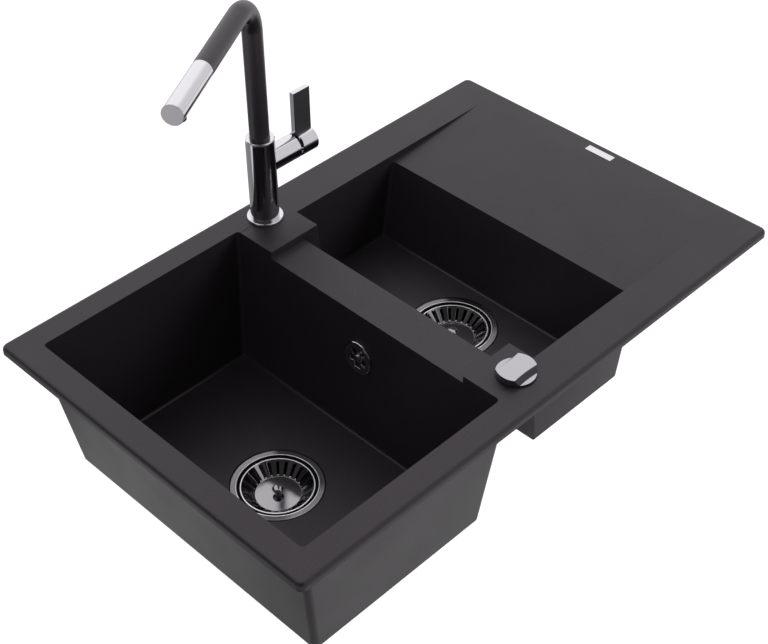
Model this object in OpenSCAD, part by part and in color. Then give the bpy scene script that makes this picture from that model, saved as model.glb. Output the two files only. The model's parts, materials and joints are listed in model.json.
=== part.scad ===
// One and a half bowl inset sink of moulded stone composite, with its tap and wastes.
// Frame: origin at the centre of the rim's outline, on the worktop; +X along the length, towards
// the drainer; +Y to the back; +Z up. All sizes in millimetres.
// Places on the sink are measured from the rim's left and front edges and turned into the frame
// by sx() and sy(). Depths in the bowls are measured down from the top of the rim.

/* [Rim] */
// Length of the rim
sink_l = 780; // [760:1:820]
// Width of the rim, front to back
sink_w = 496.5; // [490:0.5:520]
// Thickness of the rim above the worktop
rim_t = 10; // [8:0.5:14]
// Radius of the rim's corners
rim_r = 9; // [7:1:16]
// Radius of the round edge along the rim's top
rim_round = 5.5; // [2:0.5:6]
// Wall between the inside and the outside of a bowl
wall = 9; // [7:0.5:11]

/* [Large bowl] */
// Width of the rim left of the large bowl, and in front of it
margin = 35.2; // [32:0.1:40]
// Large bowl opening, along the length
big_l = 290.5; // [270:0.5:300]
// Width of the rim behind the large bowl
big_back = 35.1; // [32:0.1:60]
// Depth of the large bowl below the rim's top
big_depth = 191; // [150:1:220]
// How far the left wall leans in over the depth
big_lean_left = 32; // [8:1:36]
// How far the front wall leans in over the depth
big_lean_front = 26; // [8:1:36]
// How far the right wall leans in over the depth
big_lean_right = 12; // [8:1:20]
// How far the back wall leans in over the depth
big_lean_back = 6; // [4:1:20]
// Waste from the left edge of the rim
big_waste_x = 188.3; // [184:0.1:196]
// Waste behind the rim's middle line
big_waste_off = 5.75; // [-8:0.25:18]

/* [Small bowl] */
// Width of the divider between the bowls
divider_w = 51; // [46:0.5:60]
// How far the divider lies below the rim's top
divider_drop = 9; // [4:0.5:9]
// Small bowl opening, along the length
small_l = 198; // [190:0.5:210]
// Small bowl opening from the front edge of the rim
small_front = 53.5; // [50:0.5:60]
// Width of the rim behind the small bowl
small_back = 58; // [52:0.5:80]
// Depth of the small bowl below the rim's top
small_depth = 117; // [90:1:125]
// How far the left and the right wall lean in over the depth
small_lean_x = 23; // [8:1:26]
// How far the front wall leans in over the depth
small_lean_front = 0.5; // [0.5:0.5:12]
// How far the back wall leans in over the depth
small_lean_back = 3; // [2:0.5:12]
// How far the walls beside the two decks lean in over the depth
small_lean_deck = 11; // [2:0.5:14]
// Waste from the left edge of the rim
small_waste_x = 477; // [472:0.1:484]
// Waste behind the rim's middle line; a minus sign puts it in front
small_waste_off = -6.65; // [-18:0.05:8]

/* [Decks and drainer] */
// Length of the two raised decks at the ends of the divider
deck_l = 76.3; // [74:0.1:80]
// Front edge of the tap deck from the back edge of the rim
tap_deck_back = 95.5; // [92:0.5:100]
// Back edge of the knob deck from the front edge of the rim
knob_deck_y = 88.8; // [86:0.1:94]
// Flat rim right of the drainer's high end
drainer_rim = 44.2; // [36:0.1:80]
// Length of the bare plate on the right rim
badge_l = 41.2; // [30:0.1:60]
// Width of the bare plate
badge_w = 10.8; // [8:0.1:16]
// Centre of the bare plate from the right edge of the rim
badge_inset = 17.3; // [14:0.1:24]

/* [Tap] */
// Tap axis from the left edge of the rim
tap_from_left = 368.8; // [366:0.1:371]
// Tap axis from the back edge of the rim
tap_from_back = 37; // [34:0.5:42]
// Radius of the tap body
body_r = 18; // [17:0.5:20]
// Top of the tap body above the rim
body_h = 118; // [110:1:150]
// Radius of the base ring
ring_r = 22.7; // [21.5:0.1:24]
// Height of the base ring
ring_h = 4; // [3:0.5:6]
// Radius of the spout's tube
spout_r = 12.2; // [11.5:0.1:12.8]
// Wall of the spout's tube
spout_wall = 1.5; // [1:0.1:2]
// Axis of the level arm above the rim
arm_h = 303.8; // [270:0.1:340]
// Radius of the spout's bend, at the axis
bend_r = 42; // [30:1:60]
// From the tap axis to the end of the spray head
reach = 243.3; // [225:0.1:270]
// Length of the spray head
spray_l = 88; // [80:0.1:110]
// How far the spray head pulls out on its straight hose
spray_pull = 70; // [40:1:75]
// How far the spout is turned at rest, from straight forward
spout_rest = -60; // [-90:5:90]

/* [Lever] */
// Lever axis above the rim
lever_h = 79.5; // [70:0.5:86]
// Radius of the lever's housing and cap
housing_r = 15.4; // [15:0.1:17]
// End of the housing from the tap axis
housing_end = 52; // [50:0.5:58]
// End of the cap from the tap axis
cap_end = 80.4; // [78:0.1:90]
// Top of the blade above the rim
blade_top = 154.4; // [130:0.1:170]
// Thickness of the blade
blade_t = 6.6; // [4:0.1:7]
// Largest tilt of the lever away from the tap
lever_tilt = 15; // [10:1:15]

/* [Pop-up knob] */
// Knob axis from the left edge of the rim
knob_from_left = 369.4; // [367:0.1:372]
// Knob axis from the front edge of the rim
knob_from_front = 50.6; // [48:0.1:56]
// Radius of the knob
knob_r = 23.1; // [22.5:0.1:26]
// Width of the grip bar across the knob
grip_w = 26.8; // [20:0.1:32]

/* [Wastes] */
// Radius of a waste's steel flange
flange_r = 57; // [54:0.5:58]
// Radius of a basket's rim
basket_r = 45; // [43:0.5:46]
// Depth of a basket
basket_depth = 14; // [12:1:20]
// Number of slots in a basket's wall
slot_n = 24; // [12:1:30]
// Width of a slot
slot_w = 3.6; // [2:0.1:4.5]
// Outer radius of the waste pipes
pipe_r = 20; // [16:0.5:22]
// Wall of the pipes and the plastic waste bodies
pipe_wall = 2.4; // [1.8:0.1:3]
// Length of the outlet pipe behind the trap
outlet_l = 120; // [60:5:200]
// Depth of the trap's cup
cup_h = 62; // [50:1:80]
// How far the pop-up waste lifts its basket
pop_lift = 8; // [5:1:10]

/* [Overflow] */
// Overflow centre below the rim's top
overflow_depth = 71; // [60:1:80]
// Overflow centre behind the rim's middle line
overflow_off = 0.75; // [-8:0.25:12]
// Radius of the overflow's cover
overflow_r = 22; // [19:0.5:24]
// Outer radius of the overflow pipe
overflow_pipe_r = 11; // [9:0.5:12]

/* [Hidden] */

$fn = 96;
// Sides on the balls and discs inside a hull
hull_fn = 32;
// Extra length of a cut past the face it opens
eps = 1;
// Gap between pieces that move past each other without touching
gap = 0.3;
// Radial play of a running fit
play = 0.05;

// Colours of the finishes
c_stone = [0.17, 0.165, 0.17];
c_chrome = [0.82, 0.82, 0.84];
c_black = [0.13, 0.13, 0.13];
c_steel = [0.7, 0.7, 0.71];
c_plastic = [0.86, 0.86, 0.84];
c_rubber = [0.1, 0.1, 0.1];
c_brass = [0.72, 0.58, 0.3];

// Places on the sink in the frame
function sx(from_left) = from_left - sink_l / 2;
function sy(from_front) = from_front - sink_w / 2;
function lerp(a, b, t) = a + (b - a) * t;

// Large bowl, inside edges of the opening and of the floor
big_x0 = margin;
big_x1 = margin + big_l;
big_y0 = margin;
big_y1 = sink_w - big_back;
big_floor = rim_t - big_depth;
big_waste_y = sink_w / 2 + big_waste_off;
// Small bowl, inside edges of the opening and of the floor
small_x0 = big_x1 + divider_w;
small_x1 = small_x0 + small_l;
small_y0 = small_front;
small_y1 = sink_w - small_back;
small_w = small_y1 - small_y0;
small_floor = rim_t - small_depth;
small_waste_y = sink_w / 2 + small_waste_off;
// Decks and drainer, from the rim's left and front edges
tap_deck_y = sink_w - tap_deck_back;
drainer_end = sink_l - drainer_rim;
// Radii of a bowl's upright corners and of its floor's edge, inside and outside
corner_r = 5;
floor_r = 4;
out_corner_r = 8;
out_floor_r = 4;
floor_t = 10;

// Stepped seat in a bowl's floor, for the steel flange
seat_r = flange_r + 1.2;
seat_depth = 2.4;
well_r = basket_r + 6;
well_depth = 5.6;
hole_r = basket_r + 1.4;
lip_t = 1.2;
gasket_t = 1;
// Steel cup below the seat
ledge_z = -2.8;
cup_r = basket_r - 1;
sheet = 1.2;
cup_depth = basket_depth + 9;
dimple_r = 12;
dimple_depth = 3;
drain_hole_r = 6.6;
drain_ring_r = 22;
// Plastic body under the floor
waste_r = cup_r + 6;
waste_top_r = flange_r - 1;
cross_drop = 69;
body_depth_big = cross_drop + pipe_r + 2 * pipe_wall + 2;
body_depth_small = 68;
rib_z = cup_depth + 8;
rib_h = 7;
hub_r = 8;
bolt_r = 5;
bolt_head_r = 9.5;
bolt_head_h = 2.4;
rod_r = 3;

// Heights of the pipes under the bowls, and how far the tee reaches past them
over_drop = 28;
over_z = big_floor - over_drop;
cross_z = big_floor - cross_drop;
tee_over = 20;
tee_under = 10;
tee_side = 26;
tee_spigot_l = 12;
tee_top = cross_z + pipe_r + tee_over;
tee_bottom = cross_z - pipe_r - tee_under;
tee_arm = pipe_r + tee_side;
side_socket = 18;
socket_r = pipe_r + pipe_wall + play;
nut_r = socket_r + pipe_wall + 3.4;
nut_l = 16;
trap_r = 34;
trap_head_h = 52;
trap_top = tee_bottom;
outlet_drop = 26;
outlet_z = trap_top - outlet_drop;
cup_top = trap_top - trap_head_h;
seal_dip = 40;
spigot_h = 10;
outlet_step = 0.4;

// Tap
tap_x = sx(tap_from_left);
tap_y = sy(sink_w - tap_from_back);
tap_hole_r = 17.5;
shank_r = 14.6;
shank_bore = 9;
inlet_r = 4.5;
inlet_from_axis = 7.6;
shank_l = 46;
bush_r = 14.6;
bush_l = 42;
top_ring_h = 3;
clip_h = 2.4;
spout_foot = body_h - top_ring_h - bush_l + clip_h + gap;
straight_end = reach - spray_l;
neck_r = spout_r - spout_wall - 2;
neck_l = 13;
hose_r = 5.4;
hose_end = bend_r + 6;
nozzle_r = 7.4;
nozzle_from_end = 17.5;
nozzle_out = 3.4;
end_cap_t = 1.8;

// Lever
pivot = housing_end - 10;
bore_r = 12.9;
cartridge_l = 16.4;
cartridge_x = 17.6;
carrier_r = 9.25;
pin_r = 1.5;
stem_r = 3.2;
collar_r = 12.6;
collar_sheet = 1.2;
collar_from = 6;
cap_top_gap = 2.4;
cap_low_gap = 6.2;
cap_wall = 2;
cap_recess = 6;
blade_from = housing_end + 1.2;
face_t = 0.8;
face_margin = 0.6;

// Pop-up knob
knob_x = sx(knob_from_left);
knob_y = sy(knob_from_front);
knob_hole_r = 17.5;
knob_disc_h = 1.4;
knob_bar_h = 7;
knob_shaft_r = 4;
housing_flange_h = 1.2;
housing_l = 28;
crank_r = 9;
crank_t = 4;
knob_base = rim_t + housing_flange_h + gap;

// Overflow, on the large bowl's right wall
// The wall there leans evenly from the opening's edge down to the round edge of the floor
over_tilt = atan(big_lean_right / (big_depth - floor_r));
over_x = sx(big_x1 - overflow_depth * tan(over_tilt));
over_y = overflow_off;
over_c = rim_t - overflow_depth;
over_hole_r = 14;
over_seat = wall + 0.5;
elbow_l = 30;
elbow_r = 15.5;

// Clips
clip_inset = 19.5;
clip_end = 120;
clip_side = 150;
clip_x = [clip_end, sink_l - clip_end];
clip_y = [clip_side, sink_w - clip_side];
boss_r = 5;
boss_l = 16;
screw_r = 2.5;
screw_l = 20;
claw_l = 34;
claw_w = 12;
claw_t = 2.4;
seal_inset = 8;
seal_w = 6;
seal_t = 2;

// Rounded plan rectangle from the rim's left and front edges, as an extrusion
module plan_block(x0, x1, y0, y1, z0, z1, r) {
    translate([sx(x0), sy(y0), z0])
        union() {
            translate([r, 0, 0]) cube([x1 - x0 - 2 * r, y1 - y0, z1 - z0]);
            translate([0, r, 0]) cube([x1 - x0, y1 - y0 - 2 * r, z1 - z0]);
            for (x = [r, x1 - x0 - r], y = [r, y1 - y0 - r])
                translate([x, y, 0]) cylinder(r = r, h = z1 - z0);
        }
}

// Leaning bowl with upright corners of radius r; its floor's edge has radius e, as thin discs
module bowl(top, low, z_top, z_low, r, e) {
    hull() {
        for (x = [top[0] + r, top[1] - r], y = [top[2] + r, top[3] - r])
            translate([sx(x), sy(y), z_top]) cylinder(r = r, h = 0.1, $fn = hull_fn);
        for (x = [low[0] + r, low[1] - r], y = [low[2] + r, low[3] - r], a = [0 : 22.5 : 90])
            translate([sx(x), sy(y), z_low + e * (1 - sin(a))])
                cylinder(r = r - e * (1 - cos(a)), h = 0.01, $fn = hull_fn);
    }
}

// Edges [left, right, front, back] of a bowl at a share t of its depth, grown by g
function big_edges(t, g) = [big_x0 + big_lean_left * t - g, big_x1 - big_lean_right * t + g,
    big_y0 + big_lean_front * t - g, big_y1 - big_lean_back * t + g];
function small_edges(t, g) = [small_x0 + small_lean_x * t - g, small_x1 - small_lean_x * t + g,
    small_y0 + small_lean_front * t - g, small_y1 - small_lean_back * t + g];

module big_inside() {
    over = eps / big_depth;
    bowl(big_edges(-over, 0), big_edges(1, 0), rim_t + eps, big_floor, corner_r, floor_r);
}

module big_outside() {
    bowl(big_edges(rim_t / big_depth, wall), big_edges(1, wall), 0.4, big_floor - floor_t,
        out_corner_r, out_floor_r);
}

module small_inside() {
    over = eps / small_depth;
    difference() {
        bowl(small_edges(-over, 0), small_edges(1, 0), rim_t + eps, small_floor, corner_r, floor_r);
        notch_blocks(0);
    }
}

module small_outside() {
    difference() {
        bowl(small_edges(rim_t / small_depth, wall), small_edges(1, wall), 0.4,
            small_floor - floor_t, out_corner_r, out_floor_r);
        notch_blocks(wall);
    }
}

// Block with level lines along the width, from its side view along the length
module side_prism(y0, y1, pts) {
    translate([0, sy(y1), 0])
        rotate([90, 0, 0])
            linear_extrude(height = y1 - y0)
                polygon(pts);
}

// The two corners that the decks take from the small bowl; g is the wall between in and out
module notch_blocks(g) {
    far = 2 * wall;
    x0 = sx(small_x0 - far);
    x1 = sx(big_x1 + deck_l - g);
    x2 = x1 + small_lean_deck * (1 + far / small_depth);
    pts = [[x0, rim_t + far], [x0, small_floor - far], [x2, small_floor - far],
        [x1, rim_t], [x1, rim_t + far]];
    side_prism(tap_deck_y + g, tap_deck_y + g + small_w, pts);
    side_prism(knob_deck_y - g - small_w, knob_deck_y - g, pts);
}

// Rim with a quarter round along its top edge
module rim() {
    hull() {
        for (x = [rim_r, sink_l - rim_r], y = [rim_r, sink_w - rim_r], a = [0 : 22.5 : 90])
            translate([sx(x), sy(y), 0])
                cylinder(r = rim_r - rim_round * (1 - cos(a)), h = rim_t - rim_round * (1 - sin(a)),
                    $fn = hull_fn);
    }
}

// Height of the divider's top and of the drainer's low end
low_z = rim_t - divider_drop;

module drainer_cut() {
    slope = divider_drop / (drainer_end - small_x1);
    back = small_x1 - wall;
    side_prism(small_y0, small_y1, [[sx(back), low_z - slope * wall],
        [sx(drainer_end), rim_t], [sx(drainer_end), rim_t + eps], [sx(back), rim_t + eps]]);
}

module drainer_floor() {
    drop = wall - low_z;
    side_prism(small_y0 - wall / 2, small_y1 + wall / 2, [[sx(small_x1 - wall / 2), eps / 2],
        [sx(small_x1 - wall / 2), -drop], [sx(drainer_end), eps / 2]]);
}

module divider_floor() {
    y0 = knob_deck_y - wall;
    translate([sx(big_x1 - wall / 2), sy(y0), low_z - wall])
        cube([divider_w + wall, tap_deck_y + wall - y0, wall]);
}

module divider_cut() {
    translate([sx(big_x1 - wall), sy(knob_deck_y), low_z])
        cube([divider_w + 2 * wall, tap_deck_y - knob_deck_y, rim_t]);
}

// Stepped recess and hole in a floor at height z
module waste_seat(x, y, z) {
    translate([sx(x), sy(y), z]) {
        translate([0, 0, -seat_depth]) cylinder(r = seat_r, h = seat_depth + floor_r);
        translate([0, 0, -well_depth]) cylinder(r = well_r, h = well_depth);
        translate([0, 0, -floor_t - eps]) cylinder(r = hole_r, h = floor_t + 2 * eps);
    }
}

// Places of the clips: [x, y, turn], in the frame
clip_places = concat(
    [for (x = clip_x) [sx(x), sy(clip_inset), 0]],
    [for (x = clip_x) [sx(x), sy(sink_w - clip_inset), 0]],
    [for (y = clip_y) [sx(clip_inset), sy(y), 90]],
    [for (y = clip_y) [sx(sink_l - clip_inset), sy(y), 90]]);

module at_clips() {
    for (p = clip_places) translate([p[0], p[1], 0]) rotate([0, 0, p[2]]) children();
}

module seal_ring(z0, z1, g) {
    difference() {
        plan_block(seal_inset - g, sink_l - seal_inset + g, seal_inset - g, sink_w - seal_inset + g,
            z0, z1, rim_r / 2 + g);
        plan_block(seal_inset + seal_w + g, sink_l - seal_inset - seal_w - g,
            seal_inset + seal_w + g, sink_w - seal_inset - seal_w - g, z0 - eps, z1 + eps, rim_r / 4);
    }
}

module at_overflow() {
    translate([over_x, over_y, over_c]) rotate([0, 90 + over_tilt, 0]) children();
}

module basin() {
    color(c_stone)
    difference() {
        union() {
            rim();
            big_outside();
            small_outside();
            divider_floor();
            drainer_floor();
            at_clips() translate([0, 0, -boss_l]) cylinder(r = boss_r, h = boss_l + eps);
        }
        big_inside();
        small_inside();
        divider_cut();
        drainer_cut();
        waste_seat(big_waste_x, big_waste_y, big_floor);
        waste_seat(small_waste_x, small_waste_y, small_floor);
        translate([tap_x, tap_y, -eps]) cylinder(r = tap_hole_r, h = rim_t + 2 * eps);
        translate([knob_x, knob_y, -eps]) cylinder(r = knob_hole_r, h = rim_t + 2 * eps);
        at_overflow() translate([0, 0, -wall]) cylinder(r = over_hole_r, h = 3 * wall);
        seal_ring(-eps, seal_t, 0);
        at_clips() translate([0, 0, -boss_l - eps]) cylinder(r = screw_r, h = screw_l - claw_t);
        translate([sx(sink_l - badge_inset - badge_w / 2), sy(sink_w / 2 - badge_l / 2), rim_t - 0.4])
            cube([badge_w, badge_l, rim_t]);
    }
}

module badge_plate() {
    color(c_chrome)
    translate([sx(sink_l - badge_inset - badge_w / 2), sy(sink_w / 2 - badge_l / 2), rim_t - 0.4])
        cube([badge_w, badge_l, 0.9]);
}

module rim_seal() {
    color(c_rubber) seal_ring(0, seal_t, -0.1);
}

// Claws are stored turned along the rim, screwed up to their bosses
module clip_brackets() {
    color(c_steel)
    at_clips()
        translate([0, 0, -boss_l - claw_t])
            difference() {
                union() {
                    translate([-claw_w / 2, -claw_w / 2, 0]) cube([claw_l, claw_w, claw_t]);
                    translate([claw_l - claw_w / 2 - claw_t, -claw_w / 2, 0])
                        cube([claw_t, claw_w, claw_w]);
                }
                translate([0, 0, -eps]) cylinder(r = screw_r + 0.3, h = claw_t + 2 * eps);
            }
}

module clip_screws() {
    color(c_steel)
    at_clips()
        translate([0, 0, -boss_l - claw_t]) {
            translate([0, 0, -3]) cylinder(r = 4.4, h = 3);
            cylinder(r = screw_r, h = screw_l - 4);
        }
}

module at_tap() {
    translate([tap_x, tap_y, rim_t]) children();
}

module tap_base_ring() {
    color(c_chrome)
    at_tap()
        rotate_extrude()
            polygon([[shank_r + 0.2, 2], [20.4, 2], [20.4, 0], [ring_r, 0], [ring_r, ring_h - 0.8],
                [ring_r - 0.8, ring_h], [shank_r + 0.2, ring_h]]);
}

module tap_base_gasket() {
    color(c_rubber)
    at_tap()
        difference() {
            cylinder(r = 20.4, h = 2);
            translate([0, 0, -eps]) cylinder(r = tap_hole_r + 0.4, h = 2 * eps + 2);
        }
}

// Body with its side housing; both bores are blind towards the water way between them
module tap_body() {
    color(c_chrome)
    at_tap()
        difference() {
            union() {
                translate([0, 0, ring_h]) cylinder(r = body_r, h = body_h - ring_h - top_ring_h);
                translate([0, 0, lever_h]) rotate([0, 90, 0]) cylinder(r = housing_r, h = housing_end);
            }
            translate([0, 0, ring_h - eps]) cylinder(r = shank_bore, h = body_h);
            translate([0, 0, ring_h - eps]) cylinder(r = shank_r, h = 16 + eps);
            translate([0, 0, body_h - top_ring_h - bush_l]) cylinder(r = bush_r, h = bush_l + eps);
            translate([cartridge_x, 0, lever_h])
                rotate([0, 90, 0]) cylinder(r = bore_r, h = housing_end);
            translate([0, 0, lever_h - 7]) rotate([0, 90, 0]) cylinder(r = 2.2, h = cartridge_x + eps);
        }
}

module tap_top_ring() {
    color(c_chrome)
    at_tap()
        translate([0, 0, body_h - top_ring_h])
            rotate_extrude()
                polygon([[spout_r + 2 * play, 0], [body_r, 0], [body_r, top_ring_h - 1],
                    [body_r - 1, top_ring_h], [spout_r + 2 * play, top_ring_h]]);
}

// Hollow shank; at its lower end two sockets for the supply hoses, and the pull-out hose's way out
module tap_shank() {
    color(c_brass)
    at_tap()
        difference() {
            translate([0, 0, ring_h + 16 - shank_l - rim_t - 10])
                cylinder(r = shank_r, h = shank_l + rim_t + 10);
            translate([0, 0, -4]) cylinder(r = shank_bore, h = ring_h + 30);
            translate([0, 0, -shank_l - rim_t])
                for (a = [90, 210, 330])
                    rotate([0, 0, a])
                        translate([inlet_from_axis, 0, 0])
                            cylinder(r = a == 90 ? hose_r + gap : inlet_r, h = shank_l + rim_t - 3);
        }
}

module under_deck_ring(r_out, r_in, z, h) {
    translate([tap_x, tap_y, z])
        difference() {
            cylinder(r = r_out, h = h);
            translate([0, 0, -eps]) cylinder(r = r_in, h = h + 2 * eps);
        }
}

module shank_gasket() {
    color(c_rubber) under_deck_ring(20.5, shank_r + play, -2, 2);
}

module shank_washer() {
    color(c_steel) under_deck_ring(20.5, shank_r + play, -4, 2);
}

module shank_nut() {
    color(c_brass)
    translate([tap_x, tap_y, -13])
        difference() {
            cylinder(r = 20.5, h = 9, $fn = 6);
            translate([0, 0, -eps]) cylinder(r = shank_r + play, h = 9 + 2 * eps);
        }
}

// Children stand in the arm's frame: +Z of the child runs outwards along the level arm
module on_arm(k) {
    at_tap() rotate([0, 0, spout_rest]) translate([0, -k, arm_h]) rotate([90, 0, 0]) children();
}

// Mast, bend and level arm, turned as one to the resting direction
module spout_solid(r, grow) {
    at_tap() rotate([0, 0, spout_rest]) {
        translate([0, 0, spout_foot - grow])
            cylinder(r = r, h = arm_h - bend_r - spout_foot + grow);
        translate([0, -bend_r, arm_h - bend_r])
            rotate([90, 0, 90])
                rotate_extrude(angle = 90) translate([bend_r, 0]) circle(r = r);
        translate([0, -bend_r, arm_h])
            rotate([90, 0, 0]) cylinder(r = r, h = straight_end - bend_r + grow);
    }
}

module spout_tube() {
    color(c_black)
    difference() {
        spout_solid(spout_r, 0);
        spout_solid(spout_r - spout_wall, eps);
    }
}

module spout_bush() {
    color(c_plastic)
    at_tap()
        translate([0, 0, spout_foot + gap])
            difference() {
                cylinder(r = bush_r, h = body_h - top_ring_h - spout_foot - gap);
                translate([0, 0, -eps]) cylinder(r = spout_r + play, h = bush_l + 2 * eps);
            }
}

// Ring fixed in the spout's foot, which keeps it from being drawn out of the bush
module spout_clip() {
    color(c_steel)
    at_tap()
        translate([0, 0, spout_foot - clip_h])
            difference() {
                cylinder(r = bush_r - gap, h = clip_h);
                translate([0, 0, -eps]) cylinder(r = spout_r - spout_wall, h = clip_h + 2 * eps);
            }
}

module spray_dock() {
    color(c_plastic)
    on_arm(straight_end - neck_l - 3)
        difference() {
            cylinder(r = spout_r - spout_wall, h = neck_l + 3);
            translate([0, 0, -eps]) cylinder(r = hose_r + gap, h = neck_l + 3 * eps);
            translate([0, 0, 2]) cylinder(r = neck_r + play, h = neck_l + 2 * eps);
        }
}

module spray_head() {
    color(c_chrome)
    difference() {
        union() {
            on_arm(straight_end + gap) cylinder(r = spout_r, h = spray_l - gap - end_cap_t);
            on_arm(straight_end - neck_l + 1) cylinder(r = neck_r, h = neck_l + 2);
        }
        on_arm(straight_end + 4) cylinder(r = spout_r - spout_wall, h = spray_l);
        on_arm(straight_end - neck_l) cylinder(r = hose_r, h = neck_l + 6);
        on_arm(reach - nozzle_from_end) rotate([90, 0, 0]) cylinder(r = nozzle_r, h = 2 * spout_r);
    }
}

module spray_end_cap() {
    color(c_steel)
    on_arm(reach - end_cap_t) {
        cylinder(r = spout_r, h = end_cap_t);
        translate([0, 0, -1.2]) cylinder(r = spout_r - spout_wall, h = 1.2 + end_cap_t / 2);
    }
}

// Outlet with a ring of jets round a middle stream, pointing down
module spray_nozzle() {
    color(c_black)
    on_arm(reach - nozzle_from_end)
        rotate([90, 0, 0])
            difference() {
                translate([0, 0, 2]) cylinder(r = nozzle_r, h = spout_r + nozzle_out - 2);
                translate([0, 0, 4]) cylinder(r = nozzle_r - 3.4, h = spout_r + nozzle_out);
            }
}

// Straight stretch of the pull-out hose, from the spray head's neck back into the spout
module spray_hose() {
    color(c_steel)
    on_arm(hose_end)
        difference() {
            cylinder(r = hose_r, h = straight_end + 2 - hose_end);
            translate([0, 0, -eps]) cylinder(r = hose_r - 1.6, h = straight_end + 4);
        }
}

// Children stand in the lever's frame: +Z of the child runs outwards along the housing
module on_lever(x) {
    at_tap() translate([x, 0, lever_h]) rotate([0, 90, 0]) children();
}

module cartridge() {
    color(c_plastic)
    difference() {
        on_lever(cartridge_x) cylinder(r = bore_r - play, h = cartridge_l);
        on_lever(cartridge_x + cartridge_l - 4) cylinder(r = carrier_r + play, h = 5);
        at_tap() translate([cartridge_x - eps, 0, lever_h - 7]) rotate([0, 90, 0]) cylinder(r = 2.2, h = 9);
    }
}

module cartridge_nut() {
    color(c_brass)
    on_lever(cartridge_x + cartridge_l)
        difference() {
            cylinder(r = bore_r - play, h = 2.6);
            translate([0, 0, -eps]) cylinder(r = carrier_r + gap, h = 5);
        }
}

// Turning carrier with two ears that hold the lever's pin
module lever_carrier() {
    color(c_plastic)
    difference() {
        union() {
            on_lever(cartridge_x + cartridge_l - 4 + play) cylinder(r = carrier_r, h = 5.6);
            at_tap() translate([cartridge_x + cartridge_l, 0, lever_h])
                for (s = [-1, 1])
                    translate([0, s * 5.7 - 1.5, -3.6])
                        cube([pivot + 3.6 - cartridge_x - cartridge_l, 3, 7.2]);
        }
        at_tap() translate([pivot, 10, lever_h]) rotate([90, 0, 0]) cylinder(r = pin_r, h = 20);
    }
}

module lever_pin() {
    color(c_steel)
    at_tap() translate([pivot, 7.2, lever_h]) rotate([90, 0, 0]) cylinder(r = pin_r, h = 14.4);
}

module lever_stem() {
    color(c_brass)
    difference() {
        union() {
            at_tap() translate([pivot, 3.8, lever_h]) rotate([90, 0, 0]) cylinder(r = 4.4, h = 7.6);
            on_lever(pivot) cylinder(r = stem_r, h = cap_end - pivot - 7);
        }
        at_tap() translate([pivot, 5, lever_h]) rotate([90, 0, 0]) cylinder(r = pin_r + play, h = 10);
    }
}

// Ball-shaped collar that closes the housing's mouth at every tilt of the lever
module lever_collar() {
    color(c_chrome)
    difference() {
        on_lever(pivot) sphere(r = collar_r);
        on_lever(pivot) sphere(r = collar_r - collar_sheet);
        on_lever(pivot - 2 * collar_r + collar_from) cylinder(r = 2 * collar_r, h = 2 * collar_r);
        on_lever(pivot) cylinder(r = stem_r, h = 2 * collar_r);
    }
}

// Cap with a face that slants away from the housing, so that the lever can tilt
module lever_cap() {
    slant = atan((cap_low_gap - cap_top_gap) / (2 * housing_r));
    color(c_chrome)
    difference() {
        on_lever(housing_end) cylinder(r = housing_r, h = cap_end - housing_end);
        at_tap() translate([housing_end + (cap_top_gap + cap_low_gap) / 2, 0, lever_h])
            rotate([0, slant, 0]) translate([-20, -25, -25]) cube([20, 50, 50]);
        on_lever(housing_end) cylinder(r = housing_r - cap_wall, h = cap_low_gap + cap_recess);
        on_lever(housing_end) cylinder(r = stem_r, h = cap_end - housing_end - 6);
        on_lever(cap_end - 10) rotate([0, 90, 0]) cylinder(r = 2, h = housing_r + eps);
    }
}

// Upright plate on the cap, hollowed in front for the dark face
module blade_outline(m, t0, t1) {
    z0 = lever_h + housing_r - 4 + m;
    at_tap() translate([blade_from + m, t0, z0])
        cube([cap_end - 1 - blade_from - 2 * m, t1 - t0, blade_top - z0 - m]);
}

module lever_blade() {
    color(c_chrome)
    difference() {
        blade_outline(0, -blade_t / 2, blade_t / 2);
        blade_outline(face_margin, -blade_t, face_t - blade_t / 2);
        on_lever(0) cylinder(r = housing_r, h = cap_end + 10);
    }
}

module lever_face() {
    color(c_black)
    difference() {
        blade_outline(face_margin, -blade_t / 2, face_t - blade_t / 2);
        on_lever(0) cylinder(r = housing_r, h = cap_end + 10);
    }
}

module lever_grub_screw() {
    color(c_steel)
    on_lever(cap_end - 10) rotate([0, 90, 0]) translate([0, 0, stem_r]) cylinder(r = 2, h = 9);
}

module at_knob() {
    translate([knob_x, knob_y, 0]) children();
}

// Disc whose two sides are scooped out, which leaves a grip bar across it
module waste_knob() {
    scoop_r = 160;
    hollow = 1;
    spread = 5;
    color(c_chrome)
    at_knob()
        translate([0, 0, knob_base])
            difference() {
                cylinder(r = knob_r, h = knob_disc_h + knob_bar_h);
                for (s = [-1, 1])
                    translate([0, s * (grip_w / 2 + scoop_r - hollow), knob_disc_h])
                        cylinder(r1 = scoop_r - spread, r2 = scoop_r + spread * eps / knob_bar_h,
                            h = knob_bar_h + eps, $fn = 240);
                translate([0, 0, -eps]) cylinder(r = knob_shaft_r, h = 6 + eps);
            }
}

module knob_spindle() {
    color(c_steel)
    at_knob() {
        translate([0, 0, -8]) cylinder(r = knob_shaft_r, h = knob_base + 14);
        translate([0, 0, -8 - crank_t]) cylinder(r = crank_r, h = crank_t);
        translate([0, 6, -14.5]) cylinder(r = 1.5, h = 3);
    }
}

module knob_housing() {
    color(c_plastic)
    at_knob()
        difference() {
            union() {
                translate([0, 0, rim_t]) cylinder(r = 20, h = housing_flange_h);
                translate([0, 0, -housing_l]) cylinder(r = knob_hole_r - 0.5, h = housing_l + rim_t);
            }
            translate([0, 0, -housing_l - eps]) cylinder(r = 12, h = housing_l - 7 + eps);
            translate([0, 0, -eps - 10]) cylinder(r = knob_shaft_r + play, h = 30);
        }
}

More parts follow.
